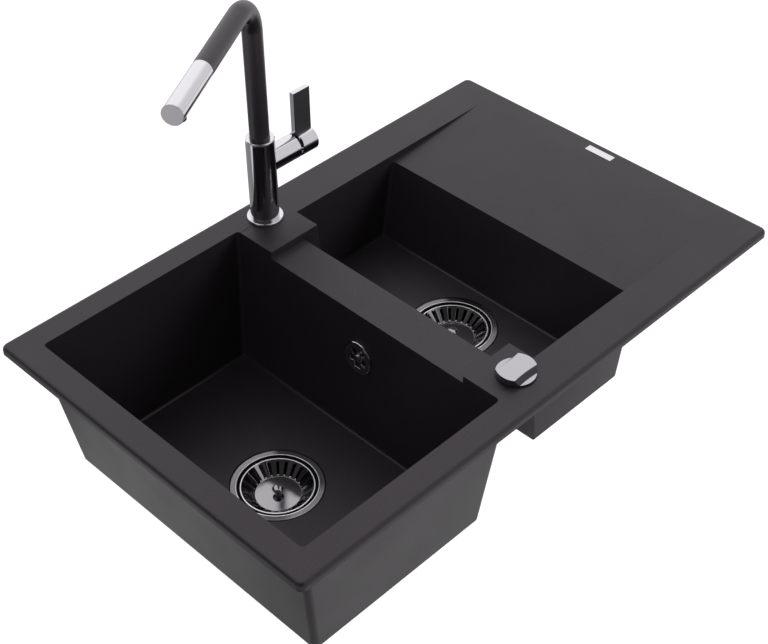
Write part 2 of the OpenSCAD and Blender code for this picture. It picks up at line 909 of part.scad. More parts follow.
module knob_cover() {
    color(c_plastic)
    at_knob()
        difference() {
            translate([0, 0, -housing_l]) cylinder(r = 12, h = 3);
            translate([0, 6, -housing_l - eps]) cylinder(r = cable_r, h = 3 + 2 * eps);
        }
}

module knob_nut() {
    color(c_plastic)
    at_knob()
        difference() {
            translate([0, 0, -9]) cylinder(r = 21, h = 9, $fn = 8);
            translate([0, 0, -9 - eps]) cylinder(r = knob_hole_r - 0.5 + play, h = 9 + 2 * eps);
        }
}

// Cable from the knob to the large waste, held at both ends
cable_r = 2.6;
cable_sides = 8;
gland_turn = -40;
gland_z = big_floor - 57;
gland_out = waste_r + pipe_wall + 3;
// Height on the way down, from a little under the knob's housing to the underside of the bowl
function hang(t) = lerp(-housing_l - 10, big_floor - floor_t, t);
// Point outside the waste body, d from its axis, in line with the gland
function at_waste(d) =
    [sx(big_waste_x) + d * cos(gland_turn), sy(big_waste_y) + d * sin(gland_turn), gland_z];
hang_x = sx(big_x1 + wall + 9);
hang_y = sy(big_waste_y) - 98;
cable_points = [
    [knob_x, knob_y + 6, 0.5 - housing_l],
    [knob_x, knob_y + 6, hang(0)],
    [knob_x - 1, knob_y + 10, hang(0.08)],
    [lerp(knob_x, hang_x, 0.15), lerp(knob_y, hang_y, 0.2), hang(0.17)],
    [lerp(knob_x, hang_x, 0.35), lerp(knob_y, hang_y, 0.45), hang(0.34)],
    [lerp(knob_x, hang_x, 0.6), lerp(knob_y, hang_y, 0.7), hang(0.55)],
    [hang_x, lerp(knob_y, hang_y, 0.9), hang(0.77)],
    [hang_x - 11, hang_y, hang(0.97)],
    [hang_x - 28, hang_y + 4, big_floor - 27],
    [hang_x - 52, hang_y + 16, gland_z + 10],
    at_waste(100), at_waste(80), at_waste(gland_out + 5), at_waste(gland_out)];

// Smooth curve through the points: each step is a cubic between neighbours
function spline_at(p, i, t) =
    let (a = p[max(i - 1, 0)], b = p[i], c = p[i + 1], d = p[min(i + 2, len(p) - 1)])
    0.5 * (2 * b + (c - a) * t + (2 * a - 5 * b + 4 * c - d) * t * t
        + (3 * b - a - 3 * c + d) * t * t * t);
cable_steps = 4;
// Any direction that the cable never runs in; it sets how the rings are turned
side_hint = [0.31, 0.86, 0.4];
cable_path = concat([for (i = [0 : len(cable_points) - 2], k = [0 : cable_steps - 1])
    spline_at(cable_points, i, k / cable_steps)], [cable_points[len(cable_points) - 1]]);

// Closed tube along a path: rings square to it, and two end faces
module swept_tube(path, r, sides) {
    n = len(path);
    along = [for (i = [0 : n - 1]) path[min(i + 1, n - 1)] - path[max(i - 1, 0)]];
    pts = [for (i = [0 : n - 1])
        let (t = along[i] / norm(along[i]), s = cross(t, side_hint), u = s / norm(s), v = cross(t, u))
        for (k = [0 : sides - 1]) path[i] + r * (cos(360 * k / sides) * u + sin(360 * k / sides) * v)];
    walls = [for (i = [0 : n - 2], k = [0 : sides - 1])
        let (a = i * sides + k, b = i * sides + (k + 1) % sides) [a, b, b + sides, a + sides]];
    polyhedron(points = pts, faces = concat([for (w = walls) [w[3], w[2], w[1], w[0]]],
        [[for (k = [0 : sides - 1]) k]], [[for (k = [sides - 1 : -1 : 0]) (n - 1) * sides + k]]));
}

module popup_cable() {
    color(c_black) swept_tube(cable_path, cable_r, cable_sides);
}

// Round cover with a dished middle, five slots and a raised edge
module overflow_cover() {
    color(c_chrome)
    at_overflow()
        difference() {
            translate([0, 0, -2.6 - play])
                rotate_extrude()
                    polygon([[0, 0.8], [overflow_r - 5, 0.8], [overflow_r - 3, 0], [overflow_r - 1, 0],
                        [overflow_r, 1], [overflow_r, 2.6], [0, 2.6]]);
            for (k = [0 : 4])
                rotate([0, 0, 72 * k])
                    translate([7, -4, -4]) cube([7, 8, 8]);
            translate([0, 0, -4]) cylinder(r = 2.4, h = 8);
        }
}

module overflow_screw() {
    color(c_chrome)
    at_overflow() {
        translate([0, 0, -3.6 - play]) cylinder(r = 4.6, h = 1.7);
        translate([0, 0, -2]) cylinder(r = 2.4, h = wall + 8.2);
    }
}

module overflow_gasket() {
    color(c_rubber)
    at_overflow()
        translate([0, 0, over_seat])
            difference() {
                cylinder(r = 20, h = 2);
                translate([0, 0, -eps]) cylinder(r = over_hole_r, h = 2 + 2 * eps);
            }
}

// Elbow behind the wall: a cup round the hole and a spigot pointing down
module overflow_elbow() {
    z0 = over_seat + 2;
    color(c_plastic)
    difference() {
        union() {
            at_overflow() translate([0, 0, z0]) cylinder(r = 20, h = 3);
            at_overflow() translate([0, 0, z0]) cylinder(r = over_hole_r + pipe_wall, h = elbow_l - 4);
            translate([over_x + z0 + elbow_l / 2, over_y, over_c - 34])
                cylinder(r = overflow_pipe_r - pipe_wall - play, h = 34);
            at_overflow() cylinder(r = 5, h = z0 + elbow_l - 4);
        }
        at_overflow() difference() {
            translate([0, 0, z0 - eps]) cylinder(r = over_hole_r, h = elbow_l - 4 - pipe_wall + eps);
            cylinder(r = 5, h = z0 + elbow_l);
        }
        translate([over_x + z0 + elbow_l / 2, over_y, over_c - 34 - eps])
            cylinder(r = overflow_pipe_r - 2 * pipe_wall, h = 34 + eps);
        at_overflow() translate([0, 0, -eps]) cylinder(r = 2.4, h = wall + 8);
        at_overflow() translate([0, 0, -eps]) cylinder(r = 6, h = over_seat + eps);
    }
}

over_pipe_x = over_x + over_seat + 2 + elbow_l / 2;
over_bend = 26;
over_top = over_c - 22;
waste_side = sx(big_waste_x) + waste_r + pipe_wall;

module overflow_run(r, grow) {
    translate([over_pipe_x, over_y, over_z + over_bend])
        cylinder(r = r, h = over_top - over_z - over_bend + grow);
    translate([over_pipe_x - over_bend, over_y, over_z + over_bend])
        rotate([-90, 0, 0])
            rotate_extrude(angle = 90) translate([over_bend, 0]) circle(r = r);
    translate([over_pipe_x - over_bend, over_y, over_z]) rotate([0, -90, 0])
        cylinder(r = r, h = over_pipe_x - over_bend - waste_side + grow);
}

module overflow_pipe() {
    color(c_plastic)
    difference() {
        overflow_run(overflow_pipe_r, 0);
        overflow_run(overflow_pipe_r - pipe_wall, eps);
    }
}

// Steel flange: lip, ledge for the basket, cup with a pierced bottom; z 0 is the floor's top
module waste_flange(x, y, z) {
    color(c_steel)
    translate([sx(x), sy(y), z])
        difference() {
            rotate_extrude()
                polygon([[flange_r, -lip_t - 0.2], [flange_r, -0.4], [flange_r - 1, 0.2],
                    [well_r - 1.6, -0.2], [well_r - 1.6, ledge_z], [cup_r, ledge_z],
                    [cup_r, -cup_depth + sheet],
                    [dimple_r, -cup_depth + sheet], [dimple_r, -cup_depth + sheet - dimple_depth],
                    [0, -cup_depth + sheet - dimple_depth], [0, -cup_depth - dimple_depth],
                    [dimple_r + sheet, -cup_depth - dimple_depth], [dimple_r + sheet, -cup_depth],
                    [cup_r + sheet, -cup_depth], [cup_r + sheet, ledge_z - sheet],
                    [well_r - 0.4, ledge_z - sheet], [well_r - 0.4, -lip_t - 0.2]]);
            translate([0, 0, -cup_depth - 2 * dimple_depth]) cylinder(r = bolt_r + 0.4, h = cup_depth);
            for (a = [0 : 45 : 315])
                rotate([0, 0, a]) translate([drain_ring_r, 0, -cup_depth - eps])
                    cylinder(r = drain_hole_r, h = sheet + 2 * eps);
        }
}

module flange_gasket(x, y, z) {
    color(c_rubber)
    translate([sx(x), sy(y), z - seat_depth])
        difference() {
            cylinder(r = flange_r - 0.5, h = seat_depth - lip_t - 0.2);
            translate([0, 0, -eps]) cylinder(r = well_r, h = 4);
        }
}

module body_gasket(x, y, z) {
    color(c_rubber)
    translate([sx(x), sy(y), z - floor_t - 2])
        difference() {
            cylinder(r = waste_top_r, h = 2);
            translate([0, 0, -eps]) cylinder(r = hole_r + 1, h = 2 + 2 * eps);
        }
}

// Plastic body under a floor: top plate, chamber, cross ribs and hub for the clamp bolt.
// Children are joined to it before the chamber is hollowed out.
module waste_body(x, y, z, depth) {
    top = z - floor_t - 2;
    difference() {
        union() {
            translate([sx(x), sy(y), top - 4]) cylinder(r = waste_top_r, h = 4);
            translate([sx(x), sy(y), z - depth]) cylinder(r = waste_r + pipe_wall, h = top - z + depth);
            children();
        }
        translate([sx(x), sy(y), top - 4 - eps]) cylinder(r = hole_r + 1, h = 4 + 2 * eps);
        translate([sx(x), sy(y), 0])
            difference() {
                translate([0, 0, z - depth + pipe_wall])
                    cylinder(r = waste_r, h = top - 4 - z + depth - pipe_wall);
                translate([0, 0, z - rib_z - rib_h]) {
                    cylinder(r = hub_r, h = rib_h);
                    for (a = [30, 150, 270])
                        rotate([0, 0, a]) translate([0, -2, 0]) cube([waste_r + eps, 4, rib_h]);
                }
            }
        translate([sx(x), sy(y), z - rib_z - rib_h - eps]) cylinder(r = bolt_r, h = rib_h + 2 * eps);
    }
}

cross_turn = atan2(small_waste_y - big_waste_y, small_waste_x - big_waste_x);
waste_gap = norm([small_waste_y - big_waste_y, small_waste_x - big_waste_x]);

// Children stand at the large waste, at height z, with +Z turned towards the small waste
module towards_small(z) {
    translate([sx(big_waste_x), sy(big_waste_y), z])
        rotate([0, 0, cross_turn]) rotate([0, 90, 0]) children();
}

module at_gland() {
    translate([sx(big_waste_x), sy(big_waste_y), gland_z])
        rotate([0, 0, gland_turn]) rotate([0, 90, 0]) children();
}

module waste_body_big() {
    side = waste_r + pipe_wall;
    color(c_plastic)
    difference() {
        waste_body(big_waste_x, big_waste_y, big_floor, body_depth_big) {
            towards_small(cross_z) cylinder(r = socket_r + pipe_wall, h = waste_r + side_socket);
            translate([sx(big_waste_x), over_y, over_z])
                rotate([0, 90, 0]) cylinder(r = overflow_pipe_r + play + pipe_wall, h = waste_r + 10);
            at_gland() cylinder(r = 2 * cable_r, h = side + 10);
        }
        towards_small(cross_z) translate([0, 0, waste_r - 8]) cylinder(r = pipe_r - pipe_wall, h = 30);
        towards_small(cross_z) translate([0, 0, side + 2]) cylinder(r = pipe_r + play, h = 20);
        translate([sx(big_waste_x) + waste_r - 8, over_y, over_z])
            rotate([0, 90, 0]) cylinder(r = overflow_pipe_r - pipe_wall, h = 30);
        translate([waste_side, over_y, over_z])
            rotate([0, 90, 0]) cylinder(r = overflow_pipe_r + play, h = 30);
        at_gland() translate([0, 0, waste_r - 4]) cylinder(r = 1, h = 20);
        at_gland() translate([0, 0, gland_out]) cylinder(r = cable_r, h = 20);
    }
}

module waste_body_small() {
    low = small_floor - body_depth_small;
    color(c_plastic)
    difference() {
        waste_body(small_waste_x, small_waste_y, small_floor, body_depth_small)
            at_small_waste(low - 14) cylinder(r = socket_r + pipe_wall, h = 16);
        at_small_waste(low - 14 - eps) cylinder(r = pipe_r + play, h = 14 + eps);
        at_small_waste(low - eps) cylinder(r = pipe_r - pipe_wall, h = pipe_wall + 2 * eps);
    }
}

// Hollow clamp bolt from the cup's dimple into the hub; the large bowl's guides the lift rod
module clamp_bolt(x, y, z) {
    head = z - cup_depth + sheet - dimple_depth;
    color(c_steel)
    translate([sx(x), sy(y), head])
        difference() {
            union() {
                cylinder(r = bolt_head_r, h = bolt_head_h);
                translate([0, 0, -rib_z - rib_h + cup_depth - sheet + dimple_depth + 1])
                    cylinder(r = bolt_r, h = rib_z + rib_h - cup_depth + sheet - dimple_depth);
            }
            translate([0, 0, -rib_z]) cylinder(r = rod_r + play, h = 2 * rib_z);
        }
}

// Basket: rim, leaning slotted wall, flat bottom, and a grip on a post; z 0 is the floor's top
basket_low_r = 29;
basket_top_in = basket_r - 3.4;
basket_seat = ledge_z + gap;
basket_foot = basket_seat - basket_depth;
post_r = 3.2;
grip_r = 7;
grip_top = -1.4;
grip_h = 4.4;
plug_r = drain_ring_r + drain_hole_r + 2.2;
plug_foot = sheet - cup_depth + gap;

module basket(x, y, z) {
    color(c_steel)
    translate([sx(x), sy(y), z + basket_seat])
        difference() {
            rotate_extrude()
                polygon([[basket_r, 0], [basket_r, sheet], [basket_top_in, sheet],
                    [basket_low_r - sheet, sheet - basket_depth], [post_r, sheet - basket_depth],
                    [post_r, grip_top - grip_h], [grip_r, grip_top - grip_h + 1],
                    [grip_r, grip_top - 1.6], [grip_r - 2.2, grip_top], [0, grip_top],
                    [0, -basket_depth], [basket_low_r, -basket_depth], [basket_top_in + sheet / 2, 0]]);
            for (k = [0 : slot_n - 1])
                rotate([0, 0, 360 * k / slot_n])
                    translate([basket_low_r - 0.6, -slot_w / 2, 2.4 - basket_depth])
                        cube([basket_r, slot_w, basket_depth - 5.6]);
        }
}

// Rubber plug under a basket, which closes the holes in the cup's bottom
module basket_plug(x, y, z) {
    color(c_rubber)
    translate([sx(x), sy(y), z])
        rotate_extrude()
            polygon([[0, plug_foot], [plug_r - 1, plug_foot], [plug_r, plug_foot + 1],
                [plug_r, plug_foot + 2], [basket_low_r - 4, basket_foot], [0, basket_foot]]);
}

module basket_big() {
    basket(big_waste_x, big_waste_y, big_floor);
}

module basket_small() {
    basket(small_waste_x, small_waste_y, small_floor);
}

module basket_plug_big() {
    basket_plug(big_waste_x, big_waste_y, big_floor);
}

module basket_plug_small() {
    basket_plug(small_waste_x, small_waste_y, small_floor);
}

// Rod that the cable pushes up through the hollow clamp bolt
module lift_rod() {
    low = rib_z + rib_h + 10;
    color(c_steel)
    translate([sx(big_waste_x), sy(big_waste_y), big_floor - low])
        cylinder(r = rod_r, h = low + plug_foot - gap);
}

module waste_flanges() {
    waste_flange(big_waste_x, big_waste_y, big_floor);
    waste_flange(small_waste_x, small_waste_y, small_floor);
}

module flange_gaskets() {
    flange_gasket(big_waste_x, big_waste_y, big_floor);
    flange_gasket(small_waste_x, small_waste_y, small_floor);
}

module body_gaskets() {
    body_gasket(big_waste_x, big_waste_y, big_floor);
    body_gasket(small_waste_x, small_waste_y, small_floor);
}

module clamp_bolts() {
    clamp_bolt(big_waste_x, big_waste_y, big_floor);
    clamp_bolt(small_waste_x, small_waste_y, small_floor);
}

module at_small_waste(z) {
    translate([sx(small_waste_x), sy(small_waste_y), z]) children();
}

module pipe(r, t, h) {
    difference() {
        cylinder(r = r, h = h);
        translate([0, 0, -eps]) cylinder(r = r - t, h = h + 2 * eps);
    }
}

module down_pipe() {
    top = small_floor - body_depth_small - 2;
    color(c_plastic) at_small_waste(tee_top - 12) pipe(pipe_r, pipe_wall, top - tee_top + 12);
}

module cross_pipe() {
    from = waste_r + pipe_wall + 2;
    color(c_plastic) towards_small(cross_z) translate([0, 0, from])
        pipe(pipe_r, pipe_wall, waste_gap - tee_arm + 12 - from);
}

// Tee under the small bowl: sockets at its top and side, a spigot into the trap below
module tee() {
    color(c_plastic)
    difference() {
        union() {
            at_small_waste(tee_bottom) cylinder(r = socket_r + pipe_wall, h = tee_top - tee_bottom);
            towards_small(cross_z) translate([0, 0, waste_gap - tee_arm])
                cylinder(r = socket_r + pipe_wall, h = tee_arm);
            at_small_waste(tee_bottom - tee_spigot_l)
                cylinder(r = pipe_r - pipe_wall - 3, h = tee_spigot_l + 2);
        }
        at_small_waste(tee_bottom - tee_spigot_l - eps)
            cylinder(r = pipe_r - 2 * pipe_wall - 3, h = tee_spigot_l + pipe_r);
        at_small_waste(tee_bottom + 6) cylinder(r = pipe_r - pipe_wall, h = tee_top - tee_bottom);
        at_small_waste(tee_top - 12) cylinder(r = pipe_r + play, h = 12 + eps);
        towards_small(cross_z) translate([0, 0, waste_gap - tee_arm - eps])
            cylinder(r = pipe_r - pipe_wall, h = tee_arm);
        towards_small(cross_z) translate([0, 0, waste_gap - tee_arm - eps])
            cylinder(r = pipe_r + play, h = 12 + eps);
    }
}

module union_nut() {
    difference() {
        cylinder(r = nut_r, h = nut_l, $fn = 8);
        translate([0, 0, -eps]) cylinder(r = pipe_r + play, h = nut_l + 2 * eps);
        translate([0, 0, -eps]) cylinder(r = socket_r + pipe_wall + play, h = nut_l - 3 + eps);
    }
}

// Four alike nuts, each over the end of a socket
module union_nuts() {
    reach_in = nut_l - 3 - play;
    color(c_plastic) {
        at_small_waste(tee_top - reach_in) union_nut();
        at_small_waste(small_floor - body_depth_small - 14 + reach_in)
            rotate([180, 0, 0]) union_nut();
        towards_small(cross_z) translate([0, 0, waste_gap - tee_arm + reach_in])
            rotate([180, 0, 0]) union_nut();
        towards_small(cross_z) translate([0, 0, waste_r + side_socket - reach_in]) union_nut();
    }
}

// Head of the bottle trap: dip tube, back outlet, and a spigot that the cup goes round
module trap_head() {
    spigot_r = trap_r - pipe_wall - play;
    color(c_plastic)
    difference() {
        union() {
            at_small_waste(cup_top) cylinder(r = trap_r, h = trap_head_h);
            at_small_waste(cup_top - spigot_h) cylinder(r = spigot_r, h = spigot_h + eps);
            at_small_waste(cup_top - seal_dip) cylinder(r = pipe_r, h = seal_dip);
            at_small_waste(outlet_z) rotate([-90, 0, 0]) cylinder(r = socket_r + pipe_wall, h = trap_r + 16);
        }
        difference() {
            at_small_waste(cup_top - spigot_h - eps)
                cylinder(r = spigot_r - pipe_wall, h = trap_head_h + spigot_h + eps - pipe_wall);
            at_small_waste(cup_top - seal_dip) cylinder(r = pipe_r, h = seal_dip + trap_head_h);
        }
        at_small_waste(cup_top - seal_dip - eps)
            cylinder(r = pipe_r - pipe_wall, h = seal_dip + trap_head_h - 14);
        at_small_waste(trap_top - tee_spigot_l - eps)
            cylinder(r = pipe_r - pipe_wall - 3 + play, h = tee_spigot_l + 2 * eps);
        at_small_waste(outlet_z) rotate([-90, 0, 0])
            translate([0, 0, pipe_r + 1]) cylinder(r = pipe_r - pipe_wall, h = trap_r + 20);
        at_small_waste(outlet_z) rotate([-90, 0, 0])
            translate([0, 0, trap_r + 4]) cylinder(r = pipe_r - outlet_step + play, h = 20);
    }
}

// Cup with a grip ring at its mouth
module trap_cup() {
    color(c_plastic)
    difference() {
        union() {
            at_small_waste(cup_top - cup_h) cylinder(r = trap_r, h = cup_h);
            at_small_waste(cup_top - spigot_h) cylinder(r = trap_r + 3, h = spigot_h);
        }
        at_small_waste(cup_top - cup_h + pipe_wall) cylinder(r = trap_r - pipe_wall, h = cup_h);
    }
}

// Outlet pipe with a slightly thinner end in the trap's socket
module outlet_pipe() {
    color(c_plastic)
    at_small_waste(outlet_z)
        rotate([-90, 0, 0])
            difference() {
                union() {
                    translate([0, 0, trap_r + 4]) cylinder(r = pipe_r - outlet_step, h = outlet_l);
                    translate([0, 0, trap_r + 16]) cylinder(r = pipe_r, h = outlet_l);
                }
                translate([0, 0, trap_r]) cylinder(r = pipe_r - pipe_wall, h = outlet_l + 20);
            }
}

basin();
badge_plate();
rim_seal();
clip_brackets();
clip_screws();
tap_base_ring();
tap_base_gasket();
tap_body();
tap_top_ring();
tap_shank();
shank_gasket();
shank_washer();
shank_nut();
spout_tube();
spout_bush();
spout_clip();
spray_dock();
spray_head();
spray_end_cap();
spray_nozzle();
spray_hose();
cartridge();
cartridge_nut();
lever_carrier();
lever_pin();
lever_stem();
lever_collar();
lever_cap();
lever_blade();
lever_face();
lever_grub_screw();
waste_knob();
knob_spindle();
knob_housing();
knob_cover();
knob_nut();
popup_cable();
overflow_cover();
overflow_screw();
overflow_gasket();
overflow_elbow();
overflow_pipe();
waste_flanges();
flange_gaskets();
body_gaskets();
clamp_bolts();
waste_body_big();
waste_body_small();
basket_big();
basket_plug_big();
lift_rod();
basket_small();
basket_plug_small();
down_pipe();
cross_pipe();
tee();
union_nuts();
trap_head();
trap_cup();
outlet_pipe();
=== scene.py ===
"""Looks of a one and a half bowl stone composite sink with its tap and wastes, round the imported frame."""
import json
import math

import bmesh
import bpy
import numpy as np
from mathutils import Euler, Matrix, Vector


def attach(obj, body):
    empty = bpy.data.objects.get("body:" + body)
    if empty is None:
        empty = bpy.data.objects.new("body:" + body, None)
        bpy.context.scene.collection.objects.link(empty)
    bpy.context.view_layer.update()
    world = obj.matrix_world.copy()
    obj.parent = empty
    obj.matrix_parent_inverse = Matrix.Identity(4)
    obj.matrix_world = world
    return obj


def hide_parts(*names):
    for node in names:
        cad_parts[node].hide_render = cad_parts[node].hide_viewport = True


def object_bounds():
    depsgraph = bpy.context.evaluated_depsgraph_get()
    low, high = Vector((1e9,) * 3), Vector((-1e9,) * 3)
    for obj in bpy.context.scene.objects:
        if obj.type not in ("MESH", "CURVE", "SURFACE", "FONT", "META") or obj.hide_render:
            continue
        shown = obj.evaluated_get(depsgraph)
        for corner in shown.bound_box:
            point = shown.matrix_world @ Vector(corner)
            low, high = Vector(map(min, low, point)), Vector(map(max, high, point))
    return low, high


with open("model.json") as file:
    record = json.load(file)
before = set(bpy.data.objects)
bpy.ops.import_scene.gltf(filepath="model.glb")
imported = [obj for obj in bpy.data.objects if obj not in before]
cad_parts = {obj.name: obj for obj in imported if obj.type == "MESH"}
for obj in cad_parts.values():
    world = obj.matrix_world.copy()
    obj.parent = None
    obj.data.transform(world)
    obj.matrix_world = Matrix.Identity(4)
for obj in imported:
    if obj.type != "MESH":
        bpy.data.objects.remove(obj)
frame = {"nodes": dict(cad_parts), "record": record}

MM = 0.001
cad_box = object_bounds()
BODY_OF = {node: body for body, nodes in frame["record"]["behaviour"]["bodies"].items() for node in nodes}


# Small helpers

def linear(hex_colour):
    """An sRGB hex colour as linear red, green, blue and alpha."""
    values = [int(hex_colour[i:i + 2], 16) / 255 for i in (1, 3, 5)]
    return [v / 12.92 if v <= 0.04045 else ((v + 0.055) / 1.055) ** 2.4 for v in values] + [1.0]


def grey(value):
    """A linear grey as a colour."""
    return (value, value, value, 1.0)


def feed(tree, node, inputs):
    """Fills a node's sockets: a plain value is set, and another node's output is linked."""
    for name, value in inputs.items():
        if isinstance(value, bpy.types.NodeSocket):
            tree.links.new(value, node.inputs[name])
        else:
            node.inputs[name].default_value = value


def add(tree, kind, inputs=None, stops=(), **settings):
    """A node of that kind, with its own settings and its sockets filled. Stops are a colour ramp's
    (position, colour) pairs."""
    new = tree.nodes.new(kind)
    for name, value in settings.items():
        setattr(new, name, value)
    feed(tree, new, inputs or {})
    if stops:
        elements = new.color_ramp.elements
        while len(elements) < len(stops):
            elements.new(0.5)
        for element, (position, colour) in zip(elements, stops):
            element.position = position
            element.color = colour
    return new


def surface(name, **values):
    """A new material with one Principled shader; values are plain numbers and colours on its own sockets."""
    material = bpy.data.materials.new(name)
    material.use_nodes = True
    shader = material.node_tree.nodes["Principled BSDF"]
    for socket, value in values.items():
        shader.inputs[socket.replace("_", " ")].default_value = value
    return material, material.node_tree, shader


# Camera at the photograph's angle

# Place in metres, turn in degrees, lens and sensor in millimetres
CAMERA_AT = (-0.9983408, -0.9723193, 1.1652011)
CAMERA_TURN = (48.958645, 0.408981, -45.336743)
CAMERA_LENS = 72.44
CAMERA_SENSOR = 36


def make_camera():
    camera = bpy.data.objects.new("camera", bpy.data.cameras.new("camera"))
    camera.location = CAMERA_AT
    camera.rotation_euler = Euler([math.radians(a) for a in CAMERA_TURN])
    camera.data.lens = CAMERA_LENS
    camera.data.sensor_width = CAMERA_SENSOR
    bpy.context.scene.collection.objects.link(camera)
    bpy.context.scene.camera = camera


# Studio: white surroundings, a pale floor under the trap, and three soft lamps

# The floor: how far it lies below the part and reaches to each side, and how bright it is seen and mirrored
FLOOR_DROP = 0.004
FLOOR_HALF = 12.0
FLOOR_SEEN = 0.85
FLOOR_SHINE = 0.57
# The surroundings: the light that they give, and how bright they are mirrored
SKY_LIGHT = 0.34
SKY_SHINE = 1.16
# Unlit ends of the studio: the way there, the cosines where each starts and is full, and the light left
# there. The first lies round the camera, the second at its left and the third, a dim one, at its right
UNLIT = [((-0.534, -0.534, 0.656), 0.62, 0.86, 0.04), ((-0.78, 0.49, 0.4), 0.8, 0.94, 0.05),
         ((0.66, -0.66, 0.36), 0.5, 0.85, 0.68)]
# Dark round cards on the floor, behind the part and at its left: the middle, the radii between which each
# fades out, and the light left on it
CARDS = [((-0.3, 0.95, 0.0), 0.44, 0.58, 0.04), ((-0.7, -0.25, 0.0), 0.2, 0.55, 0.05)]


def seen_directly(tree):
    """1 for what the camera, a reflection or a clear piece sees, 0 for the light that falls on things."""
    path = add(tree, "ShaderNodeLightPath").outputs
    opaque = {0: path["Is Camera Ray"], 1: path["Is Glossy Ray"]}
    first = add(tree, "ShaderNodeMath", opaque, operation="MAXIMUM").outputs[0]
    both = {0: first, 1: path["Is Transmission Ray"]}
    return add(tree, "ShaderNodeMath", both, operation="MAXIMUM").outputs[0]


def make_world():
    """White all round, and plain for the light that it gives. What shines also sees the unlit ends of the
    studio as dark round patches."""
    world = bpy.data.worlds.new("white surroundings")
    world.use_nodes = True
    tree = world.node_tree
    way = add(tree, "ShaderNodeTexCoord").outputs["Generated"]
    mirrored = SKY_SHINE
    for towards, start, full, left in UNLIT:
        two = {0: way, 1: towards}
        cosine = add(tree, "ShaderNodeVectorMath", two, operation="DOT_PRODUCT").outputs["Value"]
        limits = {"Value": cosine, "From Min": start, "From Max": full, "To Min": 1.0, "To Max": left}
        part = add(tree, "ShaderNodeMapRange", limits, interpolation_type="SMOOTHSTEP").outputs["Result"]
        mirrored = add(tree, "ShaderNodeMath", {0: mirrored, 1: part}, operation="MULTIPLY").outputs[0]
    glossy = add(tree, "ShaderNodeLightPath").outputs["Is Glossy Ray"]
    seen = add(tree, "ShaderNodeMix", {"Factor": glossy, "A": 1.0, "B": mirrored}).outputs["Result"]
    strength = add(tree, "ShaderNodeMix", {"Factor": seen_directly(tree), "A": SKY_LIGHT, "B": seen})
    feed(tree, tree.nodes["Background"], {"Color": grey(1.0), "Strength": strength.outputs["Result"]})
    bpy.context.scene.world = world


def pale_floor():
    """Matte white paper: it shows brighter than it is lit, so that only the part's shadow shows on it. What
    shines also sees the dark cards that lie on it."""
    material, tree, shader = surface("pale_floor_paper", Base_Color=grey(0.3), Roughness=0.95)
    place = {0: add(tree, "ShaderNodeTexCoord").outputs["Object"], 1: (1.0, 1.0, 0.0)}
    flat = add(tree, "ShaderNodeVectorMath", place, operation="MULTIPLY").outputs[0]
    mirrored = FLOOR_SHINE
    for middle, inner, outer, left in CARDS:
        away = add(tree, "ShaderNodeVectorMath", {0: flat, 1: middle}, operation="DISTANCE").outputs["Value"]
        limits = {"Value": away, "From Min": inner, "From Max": outer, "To Min": left, "To Max": 1.0}
        part = add(tree, "ShaderNodeMapRange", limits, interpolation_type="SMOOTHSTEP").outputs["Result"]
        mirrored = add(tree, "ShaderNodeMath", {0: mirrored, 1: part}, operation="MULTIPLY").outputs[0]
    glossy = add(tree, "ShaderNodeLightPath").outputs["Is Glossy Ray"]
    seen = add(tree, "ShaderNodeMix", {"Factor": glossy, "A": FLOOR_SEEN, "B": mirrored}).outputs["Result"]
    strength = add(tree, "ShaderNodeMix", {"Factor": seen_directly(tree), "A": 0.0, "B": seen})
    feed(tree, shader, {"Emission Color": grey(1.0), "Emission Strength": strength.outputs["Result"]})
    return material


def make_floor():
    low = cad_box[0].z - FLOOR_DROP
    half = FLOOR_HALF
    mesh = bpy.data.meshes.new("floor")
    corners = [(-half, -half, low), (half, -half, low), (half, half, low), (-half, half, low)]
    mesh.from_pydata(corners, [], [(0, 1, 2, 3)])
    mesh.materials.append(pale_floor())
    floor = bpy.data.objects.new("floor", mesh)
    bpy.context.scene.collection.objects.link(floor)


def make_lamp(name, place, watts, size):
    """A square soft box that looks at the part, and that nothing mirrors."""
    lamp = bpy.data.objects.new(name, bpy.data.lights.new(name, "AREA"))
    lamp.data.energy = watts
    lamp.data.size = size
    lamp.location = place
    lamp.rotation_euler = (Vector((0, 0, 0)) - Vector(place)).to_track_quat("-Z", "Y").to_euler()
    lamp.visible_glossy = False
    bpy.context.scene.collection.objects.link(lamp)


def make_lamps():
    make_lamp("key_lamp", (-2.6, -0.4, 2.4), watts=34, size=1.2)
    make_lamp("side_lamp", (2.4, -1.6, 1.6), watts=80, size=1.6)
    make_lamp("back_lamp", (1.2, 2.6, 2.6), watts=30, size=1.8)


# Materials

# The black faces mirror the white studio with a trace of purple
DARK_TINT = (1.0, 0.92, 1.0, 1.0)
# Painted highlight and shade on the brushed ring: the factor on its colour by the share of the way round,
# where 0 is its left, 0.25 the front, 0.5 the right and 0.75 the back
PAINTED_SECTORS = [(0.0, 0.8), (0.06, 0.75), (0.1, 0.35), (0.15, 0.4), (0.19, 0.95), (0.335, 0.8), (0.385, 0.2),
           (0.63, 0.16), (0.655, 1.0), (0.8, 0.8), (0.93, 0.75), (1.0, 0.8)]


